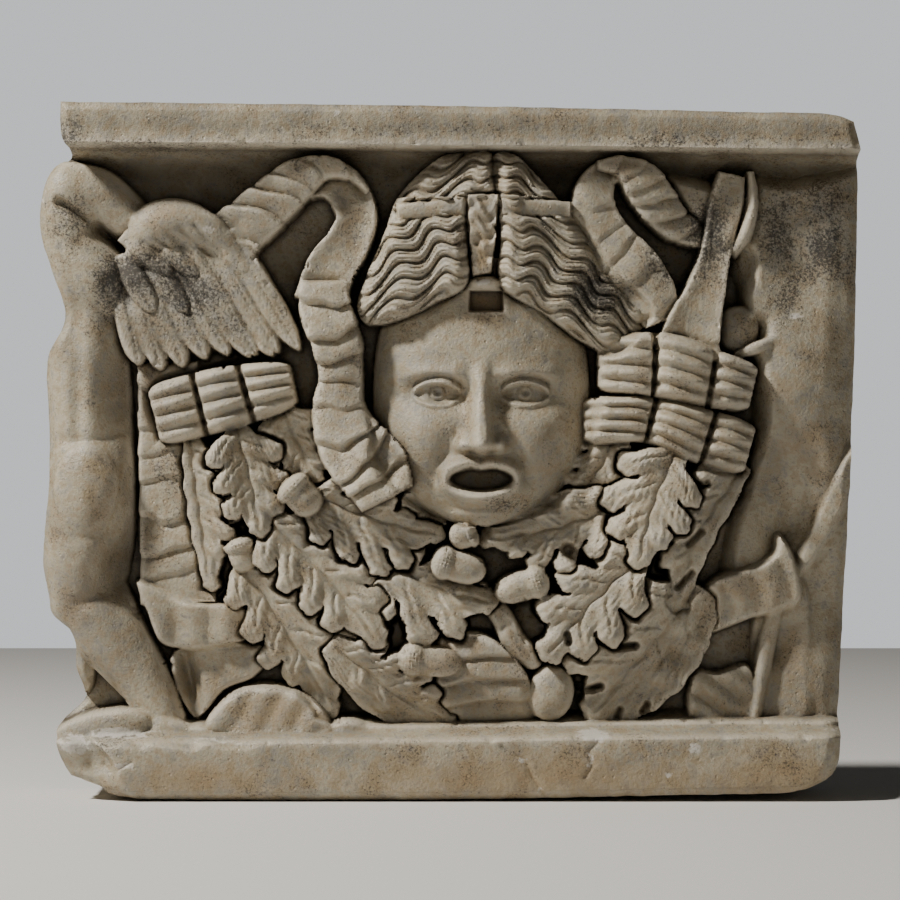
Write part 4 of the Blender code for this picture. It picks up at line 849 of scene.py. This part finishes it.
# Weathering and painted shade: each place is its middle, its reach across and up, and its strength
STAINS_AND_PAINTED_SHADE = {
    "lichen": [
        ((-212, 122), (36, 20), 1.0), ((-185, 112), (38, 26), 0.95), ((-236, 118), (18, 26), 0.85),
        ((-268, 165), (14, 34), 0.5), ((-160, 92), (30, 22), 0.6), ((182, 152), (18, 26), 0.95),
        ((232, 155), (16, 34), 0.9), ((262, 150), (26, 36), 0.8), ((100, 108), (26, 18), 0.85),
        ((-100, 205), (34, 6), 0.35), ((-268, 218), (14, 12), 0.7), ((150, 128), (14, 16), 0.6),
        ((-40, 222), (90, 7), 0.35), ((-195, -30), (12, 40), 0.35), ((-235, -205), (40, 8), 0.45),
        ((42, -38), (14, 7), 0.5), ((160, 216), (90, 6), 0.45), ((236, 105), (16, 26), 0.6),
        ((-200, 212), (70, 5), 0.45), ((-60, 165), (12, 30), 0.3), ((-55, 110), (30, 18), 0.3),
    ],
    "fresh": [
        ((-232, -198), (34, 6), 0.75), ((-165, -202), (30, 5), 0.55), ((-262, -206), (22, 10), 0.7),
        ((-225, -220), (16, 8), 0.5), ((100, -199), (16, 6), 0.8), ((97, -214), (5, 14), 0.55),
        ((171, -208), (7, 6), 0.8), ((152, -225), (5, 5), 0.7), ((-78, 234), (9, 7), 0.6),
        ((-170, 155), (7, 7), 0.6), ((-286, 176), (6, 16), 0.5), ((243, 94), (10, 4), 0.7),
        ((-268, 228), (5, 16), 0.5), ((-273, 172), (4, 5), 0.5), ((270, -196), (18, 5), 0.5),
        ((24, 117), (10, 5), 0.7), ((60, -238), (8, 8), 0.5), ((50, -216), (14, 5), 0.5),
    ],
    "ochre": [
        ((245, 0), (30, 16), 0.6), ((-185, -170), (40, 20), 0.6), ((-120, -185), (40, 16), 0.7),
        ((60, -228), (190, 20), 0.9), ((-180, -228), (60, 18), 0.85), ((25, 130), (14, 46), 0.8),
        ((45, 182), (20, 16), 0.6), ((25, 104), (22, 12), 1.0), ((205, -100), (36, 14), 0.6),
        ((-155, -115), (44, 14), 0.6), ((-200, 168), (26, 12), 0.6), ((160, 20), (60, 30), 0.5),
        ((220, -228), (70, 20), 0.9), ((-60, -5), (30, 26), 0.45), ((-250, -30), (34, 60), 0.45),
        ((34, 130), (5, 8), 1.0), ((0, -150), (70, 40), 0.45), ((245, -150), (40, 40), 0.5),
    ],
    # painted shade: darker under the fascia, in the gap beside the ribbon's loop, and down the boy's side and
    # lower leg
    "shade": [
        ((-215, 60), (22, 60), 0.7), ((-75, 165), (14, 30), 0.9), ((-190, 195), (90, 16), 0.8),
        ((120, 200), (150, 10), 0.8), ((-200, -150), (22, 34), 0.7), ((0, 204), (270, 7), 0.75),
        ((-225, -60), (12, 90), 0.6), ((60, 196), (30, 8), 0.6), ((-250, -85), (36, 62), 0.85),
        ((-222, -70), (16, 60), 1.0), ((-232, 40), (14, 60), 0.8), ((-232, -150), (34, 36), 0.6),
        ((-30, 20), (24, 60), 0.3), ((70, -40), (30, 20), 0.3),
    ],
}


def edge_line(points, places):
    """A slab edge through points of place and distance, at many places."""
    rows = open_curve(points, steps=5)
    return np.interp(places, rows[:, 0], rows[:, 1])


def slab_places(across, up):
    """Board places for shares of the slab's width and height, drawn in to its worn and broken edges."""
    x = (across - 0.5) * BOARD_WIDTH
    z = (up - 0.5) * BOARD_HEIGHT
    half, tall = BOARD_WIDTH / 2, BOARD_HEIGHT / 2
    to_left, to_right = edge_line(LEFT_EDGE, z) + half, edge_line(RIGHT_EDGE, z) - half
    to_bottom, to_top = edge_line(BOTTOM_EDGE, x) + tall, edge_line(TOP_EDGE, x) - tall
    return (x + to_left * (1 - across) ** EDGE_PULL + to_right * across**EDGE_PULL,
            z + to_bottom * (1 - up) ** EDGE_PULL + to_top * up**EDGE_PULL)


def softened(field, reach):
    """A field on the grid, blurred over a reach in grid steps."""
    steps = np.arange(-2 * reach, 2 * reach + 1)
    weights = np.exp(-0.5 * (steps / (0.7 * reach)) ** 2)
    weights /= weights.sum()
    for axis in (0, 1):
        widths = [(2 * reach, 2 * reach) if k == axis else (0, 0) for k in (0, 1)]
        padded = np.pad(field, widths, mode="edge")
        field = sum(weight * np.take(padded, np.arange(k, k + field.shape[axis]), axis=axis)
                    for k, weight in enumerate(weights))
    return field


def spread(board, places):
    """How strongly a set of places marks each point of the board."""
    mark = np.zeros_like(board.x)
    for (x, z), (reach_x, reach_z), strength in places:
        away = ((board.x - x) / reach_x) ** 2 + ((board.z - z) / reach_z) ** 2
        mark = np.maximum(mark, strength * np.exp(-away))
    return mark


def marks_of(board, shape):
    """What the wear and the marble need to know of each point: its hollows and recesses, which take dirt and
    painted shade, its edges, worn pale and painted lighter, and its stains and painted shade places.
    """
    height = board.height.reshape(shape)
    near, wide = (softened(height, round(reach / GRID_STEP)) for reach in (NEAR_REACH, WIDE_REACH))
    marks = {name: spread(board, places) for name, places in STAINS_AND_PAINTED_SHADE.items()}
    # each of these begins at a difference in millimetres, and is full so many further on
    # hollow and recess take dirt and painted shade; edge takes the pale worn edges and the painted highlight
    for name, difference, begins, full in (("hollow", near - height, 0.8, 5),
                                           ("recess", wide - height, 3, 24),
                                           ("edge", height - near, 0, 2.2)):
        marks[name] = np.clip((difference - begins) / full, 0, 1).ravel()
    return marks


def put(mesh, name, values):
    """Keeps values on a mesh's points, where the wear and the marble read them."""
    mesh.attributes.new(name, "FLOAT", "POINT").data.foreach_set("value", values.astype(np.float32))


def board_box(columns, rows):
    """A closed box of one unit, with the front as a grid and the sides in steps."""
    bm = bmesh.new()
    bmesh.ops.create_grid(bm, x_segments=columns, y_segments=rows, size=0.5)
    rim = [edge for edge in bm.edges if edge.is_boundary]
    for step in range(SIDE_STEPS):
        side = bmesh.ops.extrude_edge_only(bm, edges=rim)["geom"]
        for vert in (item for item in side if isinstance(item, bmesh.types.BMVert)):
            vert.co.z = -(step + 1) / SIDE_STEPS
        rim = [item for item in side if isinstance(item, bmesh.types.BMEdge) and item.is_boundary]
    bmesh.ops.contextual_create(bm, geom=rim)
    bmesh.ops.recalc_face_normals(bm, faces=bm.faces)
    mesh = bpy.data.meshes.new(PIECE)
    bm.to_mesh(mesh)
    bm.free()
    return mesh


def slab_mesh():
    """The box carved: each point takes its height and marks from its place on the board."""
    low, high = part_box(NODE)
    columns, rows = round(BOARD_WIDTH / GRID_STEP), round(BOARD_HEIGHT / GRID_STEP)
    mesh = board_box(columns, rows)
    points = np.empty(len(mesh.vertices) * 3)
    mesh.vertices.foreach_get("co", points)
    across, up, inward = points.reshape(-1, 3).T * [[1], [1], [-1]] + [[0.5], [0.5], [0]]
    place = np.rint(up * rows).astype(int) * (columns + 1) + np.rint(across * columns).astype(int)
    grid = np.meshgrid(np.linspace(0, 1, columns + 1), np.linspace(0, 1, rows + 1))
    x, z = slab_places(grid[0].ravel(), grid[1].ravel())
    board = Board(x, z)
    carve(board)
    to_edge = np.minimum(0.5 - np.abs(grid[0] - 0.5), 0.5 - np.abs(grid[1] - 0.5)).ravel() * BOARD_HEIGHT
    height = np.maximum(board.height - EDGE_WEAR * (1 - smooth(0, EDGE_WEAR * 2, to_edge)), -DRILL_DEPTH)
    depth = GROUND_THICKNESS + height * RELIEF_SCALE
    width_scale, height_scale = (high.x - low.x) / BOARD_WIDTH, (high.z - low.z) / BOARD_HEIGHT
    placed = np.column_stack([x[place] * width_scale, -depth[place] * (1 - inward), z[place] * height_scale])
    mesh.vertices.foreach_set("co", placed.ravel())
    for name, values in marks_of(board, (rows + 1, columns + 1)).items():
        put(mesh, name, np.where(inward > 0, 0.0, values[place]))
    put(mesh, "side", np.where(inward > 0, 1.0, 0.0))
    put(mesh, "back", np.where(inward > 0.999, 1.0, 0.0))
    mesh.update()
    return mesh


class Nodes:
    """Makes nodes in a tree. A value is a number, a colour, a tree, a material or another node's socket."""

    def __init__(self, tree):
        self.tree = tree

    def feed(self, socket, value):
        if isinstance(value, bpy.types.NodeSocket):
            self.tree.links.new(value, socket)
        else:
            socket.default_value = value

    def add(self, kind, settings=None, **inputs):
        """A node with its settings, and its inputs fed by name."""
        made = self.tree.nodes.new(kind)
        for name, value in (settings or {}).items():
            setattr(made, name, value)
        for name, value in inputs.items():
            self.feed(made.inputs[name.replace("_", " ")], value)
        return made

    def sums(self, operation, *values):
        made = self.add("ShaderNodeMath", {"operation": operation})
        for socket, value in zip(made.inputs, values):
            self.feed(socket, value)
        return made.outputs[0]

    def plus(self, first, second):
        return self.sums("ADD", first, second)

    def minus(self, first, second):
        return self.sums("SUBTRACT", first, second)

    def times(self, first, second):
        return self.sums("MULTIPLY", first, second)

    def ramp(self, value, low, high, to_low=0.0, to_high=1.0):
        """A smooth step of a value between two limits."""
        made = self.add("ShaderNodeMapRange", {"interpolation_type": "SMOOTHSTEP"}, Value=value,
                        From_Min=low, From_Max=high, To_Min=to_low, To_Max=to_high)
        return made.outputs["Result"]

    def texture(self, kind, size, settings=None, **inputs):
        """A noise or Voronoi texture whose cells have about this size."""
        made = self.add("ShaderNodeTex" + kind, settings, Scale=self.sums("DIVIDE", 1.0, size), **inputs)
        return made.outputs[0]

    def push(self, size, depth, seed, detail):
        """A noise of a size, as a push in or out of up to a depth."""
        noise = self.texture("Noise", size, {"noise_dimensions": "4D"}, Detail=detail, W=seed)
        return self.times(self.minus(noise, 0.5), depth)

    def layered(self, colour, layers):
        """A colour under layers, each a mask, its strength and its colour, from the lowest up."""
        for mask, strength, over in layers:
            made = self.add("ShaderNodeMix", {"data_type": "RGBA"})
            for socket, value in ((0, self.times(mask, strength)), (6, colour), (7, over)):
                self.feed(made.inputs[socket], value)
            colour = made.outputs[2]
        return colour

    def use(self, group, **inputs):
        return self.add("ShaderNodeGroup", {"node_tree": group}, **inputs).outputs

    def mark(self, name):
        """A mark on the mesh, in a material."""
        return self.add("ShaderNodeAttribute", {"attribute_name": name}).outputs["Fac"]

    def named(self, name):
        """A mark on the mesh, in Geometry Nodes."""
        made = self.add("GeometryNodeInputNamedAttribute", {"data_type": "FLOAT"}, Name=name)
        return made.outputs["Attribute"]


def new_group(name, inputs, outputs, kind="ShaderNodeTree"):
    """A node group with named inputs and outputs, each given by its socket's kind or its default number."""
    tree = bpy.data.node_groups.new(name, kind)
    for way, sockets in (("INPUT", inputs), ("OUTPUT", outputs)):
        for label, given in sockets.items():
            is_number = isinstance(given, float)
            socket = tree.interface.new_socket(label, in_out=way,
                                               socket_type="NodeSocket" + ("Float" if is_number else given))
            if is_number:
                socket.default_value = given
    return Nodes(tree), tree.nodes.new("NodeGroupInput").outputs, tree.nodes.new("NodeGroupOutput").inputs


def weathering():
    """Wears a carved stone: soft wear all over, pits under lichen, chipped edges and rough sides."""
    nodes, given, result = new_group("weathered_stone", {
        "Geometry": "Geometry", "Carved Marble": "Material", "Dressed Marble": "Material",
        "Wear Size": 0.014, "Wear Depth": 0.0022, "Pit Size": 0.0032, "Pit Depth": 0.0008,
        "Chip Size": 0.012, "Chip Depth": 0.0026, "Rough Size": 0.030, "Rough Depth": 0.0060, "Seed": 1.0,
    }, {"Geometry": "Geometry"}, "GeometryNodeTree")
    seed, is_side, is_back = given["Seed"], nodes.named("side"), nodes.named("back")
    wear = nodes.push(given["Wear Size"], given["Wear Depth"], seed, 3.0)
    rough = nodes.push(given["Rough Size"], given["Rough Depth"], seed, 5.0)
    pit = nodes.texture("Voronoi", given["Pit Size"], {"voronoi_dimensions": "4D"}, W=seed)
    pits = nodes.times(nodes.ramp(pit, 0.5, 0.1), given["Pit Depth"])
    pits = nodes.times(pits, nodes.plus(nodes.named("lichen"), 0.12))
    flaw = nodes.texture("Noise", given["Chip Size"], {"noise_dimensions": "4D"}, W=seed, Detail=2.0)
    chips = nodes.times(nodes.times(nodes.ramp(flaw, 0.60, 0.72), nodes.named("edge")), given["Chip Depth"])
    front = nodes.minus(nodes.minus(wear, pits), chips)
    side = nodes.minus(rough, nodes.times(given["Rough Depth"], 0.2))
    push = nodes.plus(nodes.times(front, nodes.minus(1.0, is_back)),
                      nodes.times(side, nodes.minus(is_side, is_back)))
    normal = nodes.add("GeometryNodeInputNormal").outputs["Normal"]
    offset = nodes.add("ShaderNodeVectorMath", {"operation": "SCALE"}, Vector=normal, Scale=push)
    is_dressed = nodes.add("FunctionNodeCompare", {"data_type": "FLOAT", "operation": "GREATER_THAN"},
                           A=is_side, B=0.4)
    stone = given["Geometry"]
    for kind, inputs in (("SetPosition", {"Offset": offset.outputs["Vector"]}), ("RealizeInstances", {}),
                         ("SetMaterial", {"Material": given["Carved Marble"]}),
                         ("SetMaterial", {"Material": given["Dressed Marble"],
                                          "Selection": is_dressed.outputs["Result"]})):
        stone = nodes.add("GeometryNode" + kind, Geometry=stone, **inputs).outputs["Geometry"]
    nodes.feed(result["Geometry"], stone)
    return nodes.tree


def carved_slab(carved, dressed):
    """The carved mesh, weathered, thinned and made plain."""
    rough = bpy.data.objects.new(PIECE, slab_mesh())
    bpy.context.scene.collection.objects.link(rough)
    wear = rough.modifiers.new("Weather", "NODES")
    wear.node_group = weathering()
    values = {"Carved Marble": carved, "Dressed Marble": dressed, "Seed": WEAR_SEED}
    for item in wear.node_group.interface.items_tree:
        if item.name in values:
            wear[item.identifier] = values[item.name]
    thin = rough.modifiers.new("Thin", "DECIMATE")
    thin.ratio = TRIANGLES / sum(len(face.vertices) - 2 for face in rough.data.polygons)
    made = bpy.data.meshes.new_from_object(rough.evaluated_get(bpy.context.evaluated_depsgraph_get()))
    bpy.data.objects.remove(rough, do_unlink=True)
    made.name = PIECE
    made.shade_smooth()
    made.set_sharp_from_angle(angle=SHARP_ANGLE)
    piece = bpy.data.objects.new(PIECE, made)
    bpy.context.scene.collection.objects.link(piece)
    return piece


def cloud_group():
    """Soft clouds and thin veins of the marble itself."""
    nodes, given, result = new_group(
        "marble_clouds", {"Vector": "Vector", "Size": 0.08}, {"Cloud": "Float", "Vein": "Float"})
    noise = nodes.texture("Noise", given["Size"], Vector=given["Vector"], Detail=4.0, Distortion=0.9)
    line = nodes.sums("ABSOLUTE", nodes.minus(noise, 0.42))
    nodes.feed(result["Cloud"], nodes.ramp(noise, 0.34, 0.64))
    nodes.feed(result["Vein"], nodes.ramp(line, 0.016, 0.001))
    return nodes.tree


def stain_group():
    """The two noises that all stains and the painted shade share: broad patches and fine crumbs."""
    nodes, given, result = new_group(
        "stain_noise", {"Vector": "Vector", "Broad Size": 0.028, "Fine Size": 0.006},
        {"Broad": "Float", "Fine": "Float"})
    for name in ("Broad", "Fine"):
        size = given[name + " Size"]
        noise = nodes.texture("Noise", size, Vector=given["Vector"], Detail=4.0, Roughness=0.6)
        nodes.feed(result[name], noise)
    return nodes.tree


def patch_group():
    """Breaks a soft mask into ragged patches by a noise."""
    nodes, given, result = new_group(
        "ragged_patches", {"Noise": 0.5, "Mask": 0.0, "Softness": 0.15}, {"Mask": "Float"})
    level = nodes.minus(nodes.plus(given["Mask"], given["Noise"]), 1.0)
    soft = given["Softness"]
    nodes.feed(result["Mask"], nodes.ramp(level, nodes.times(soft, -0.5), soft))
    return nodes.tree


def speck_group():
    """Small dark specks, thick where a mask is strong."""
    nodes, given, result = new_group(
        "dark_specks", {"Vector": "Vector", "Area": 0.5, "Mask": 0.0, "Size": 0.003}, {"Specks": "Float"})
    spot = nodes.texture("Noise", given["Size"], Vector=given["Vector"], Detail=4.0, Roughness=0.85)
    level = nodes.plus(nodes.times(given["Mask"], 0.20), spot)
    level = nodes.plus(level, nodes.times(given["Area"], 0.45))
    nodes.feed(result["Specks"], nodes.ramp(level, 0.84, 1.00))
    return nodes.tree


def grain_group():
    """The surface's fine height: sugary grain and small pits."""
    nodes, given, result = new_group(
        "stone_grain", {"Vector": "Vector", "Grain Size": 0.0015, "Pit Size": 0.006}, {"Height": "Float"})
    grain = nodes.texture("Noise", given["Grain Size"], Vector=given["Vector"], Detail=3.0, Roughness=0.65)
    pit = nodes.texture("Voronoi", given["Pit Size"], Vector=given["Vector"], Randomness=1.0)
    nodes.feed(result["Height"], nodes.plus(grain, nodes.ramp(pit, 0.03, 0.16, -0.6, 0.0)))
    return nodes.tree


def new_material(name):
    """A material, its nodes, and the place on the object that its textures go by."""
    material = bpy.data.materials.new(name)
    material.use_nodes = True
    nodes = Nodes(material.node_tree)
    return material, nodes, nodes.add("ShaderNodeTexCoord").outputs["Object"]


def finish_shader(nodes, colour, roughness, height, distance):
    """Joins what a marble has made to its shader, with the fine height as a bump."""
    shader = nodes.tree.nodes["Principled BSDF"]
    bump = nodes.add("ShaderNodeBump", Height=height, Strength=BUMP_STRENGTH, Distance=distance)
    for name, value in (("Base Color", colour), ("Roughness", roughness), ("Normal", bump.outputs["Normal"]),
                        ("Metallic", 0.0), ("IOR", 1.5)):
        nodes.feed(shader.inputs[name], value)


def carved_marble(clouds, stains, patches, specks, grain):
    """The carved face: cream marble with brown dirt and painted shade in the hollows, worn pale edges with a
    painted highlight, ochre stains, lichen and fresh breaks.
    """
    material, nodes, place = new_material("carved_marble")
    cloud = nodes.use(clouds, Vector=place, Size=0.06)
    stain = nodes.use(stains, Vector=place, Broad_Size=0.028, Fine_Size=0.006)

    def ragged(name, noise, softness):
        return nodes.use(patches, Noise=stain[noise], Mask=nodes.mark(name), Softness=softness)["Mask"]

    growth = nodes.plus(nodes.mark("lichen"), 0.3)
    speck = nodes.use(specks, Vector=place, Area=stain["Broad"], Mask=growth, Size=0.0019)["Specks"]
    colour = nodes.layered(GREY_MARBLE, [
        (cloud["Cloud"], 1.0, CREAM_MARBLE),
        (cloud["Vein"], 0.35, VEIN_GREY),
        (nodes.ramp(stain["Fine"], 0.42, 0.66), 0.65, TAN_MARBLE),
        (nodes.ramp(stain["Broad"], 0.48, 0.70), 0.6, TAN_MARBLE),
        (nodes.ramp(stain["Fine"], 0.50, 0.30), 0.65, VEIN_GREY),
        (ragged("lichen", "Broad", 0.7), 0.45, VEIN_GREY),
        (ragged("ochre", "Broad", 0.6), 0.75, OCHRE),
        # painted shade at the shade places, in brown
        (ragged("shade", "Broad", 0.8), 0.65, BROWN_DIRT_AND_PAINTED_SHADE),
        # dirt and painted shade in the recesses between forms
        (ragged("recess", "Broad", 0.6), 0.8, BROWN_DIRT_AND_PAINTED_SHADE),
        # dirt and painted shade in the narrow hollows and drilled gaps
        (nodes.mark("hollow"), 0.8, DARK_DIRT_AND_PAINTED_SHADE),
        # worn pale edges and a painted highlight on ridges and crests
        (nodes.mark("edge"), 0.55, PALE_EDGE_AND_PAINTED_HIGHLIGHT),
        (speck, 0.85, LICHEN),
        (ragged("fresh", "Fine", 0.12), 0.8, FRESH_BREAK),
    ])
    roughness = nodes.plus(nodes.times(cloud["Cloud"], -0.10), nodes.ramp(speck, 0.0, 1.0, 0.56, 0.85))
    height = nodes.use(grain, Vector=place, Grain_Size=0.0024, Pit_Size=0.008)["Height"]
    finish_shader(nodes, colour, roughness, height, 0.0010)
    return material


def dressed_marble(clouds, stains, patches, specks, grain):
    """The sides and the back: rough-dressed stone, grey-brown with mortar dust."""
    material, nodes, place = new_material("dressed_marble")
    cloud = nodes.use(clouds, Vector=place, Size=0.05)["Cloud"]
    stain = nodes.use(stains, Vector=place, Broad_Size=0.03, Fine_Size=0.008)
    dust = nodes.use(patches, Noise=stain["Broad"], Mask=0.52, Softness=0.4)["Mask"]
    speck = nodes.use(specks, Vector=place, Area=stain["Fine"], Mask=0.35, Size=0.004)["Specks"]
    colour = nodes.layered(BROWN_MARBLE,
                           [(cloud, 1.0, CREAM_MARBLE), (dust, 0.5, OCHRE), (speck, 0.7, LICHEN)])
    roughness = nodes.plus(0.72, nodes.times(cloud, 0.12))
    height = nodes.use(grain, Vector=place, Grain_Size=0.004, Pit_Size=0.012)["Height"]
    finish_shader(nodes, colour, roughness, height, 0.0016)
    return material


def area_light(name, place, target, size, power, colour):
    light = bpy.data.lights.new(name, "AREA")
    light.shape = "DISK"
    light.size, light.energy, light.color = size, power, colour
    lamp = bpy.data.objects.new(name, light)
    lamp.location = place
    lamp.rotation_euler = (target - Vector(place)).to_track_quat("-Z", "Y").to_euler()
    bpy.context.scene.collection.objects.link(lamp)


def pale_floor(level):
    """The studio's floor, at a level."""
    material = bpy.data.materials.new("pale_floor")
    material.use_nodes = True
    shader = material.node_tree.nodes["Principled BSDF"].inputs
    shader["Base Color"].default_value = FLOOR_COLOUR
    shader["Roughness"].default_value = 0.9
    bm = bmesh.new()
    bmesh.ops.create_grid(bm, x_segments=8, y_segments=8, size=FLOOR_SIZE / 2)
    mesh = bpy.data.meshes.new("floor")
    bm.to_mesh(mesh)
    bm.free()
    mesh.transform(Matrix.Translation((0, 0, level)))
    mesh.materials.append(material)
    floor = bpy.data.objects.new("floor", mesh)
    bpy.context.scene.collection.objects.link(floor)


def studio():
    """A pale floor, soft lights and the camera in front of the carving."""
    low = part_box(NODE)[0]
    pale_floor(low.z - FLOOR_GAP)
    for name, (place, size, power, colour) in LIGHTS.items():
        area_light(name, place, Vector((0, low.y / 2, 0)), size, power, colour)
    world = bpy.data.worlds.new("studio")
    world.use_nodes = True
    nodes = Nodes(world.node_tree)
    seen = nodes.add("ShaderNodeLightPath").outputs["Is Camera Ray"]
    back = nodes.tree.nodes["Background"].inputs
    nodes.feed(back["Color"], SKY_COLOUR)
    nodes.feed(back["Strength"], nodes.ramp(seen, 0.0, 1.0, SKY_STRENGTH, BACKDROP_STRENGTH))
    bpy.context.scene.world = world
    lens = bpy.data.cameras.new("camera")
    lens.sensor_width = SENSOR
    lens.lens = SENSOR * CAMERA_DISTANCE / VIEW_WIDTH
    camera = bpy.data.objects.new("camera", lens)
    camera.location = (0, -FRONT_PLANE - CAMERA_DISTANCE, 0)
    camera.rotation_euler = (math.radians(90), 0, 0)
    bpy.context.scene.collection.objects.link(camera)
    bpy.context.scene.camera = camera


effects = cloud_group(), stain_group(), patch_group(), speck_group(), grain_group()
carved = carved_marble(*effects)
dressed = dressed_marble(*effects)
slab = carved_slab(carved, dressed)
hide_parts(NODE)
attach(slab, "root")
studio()
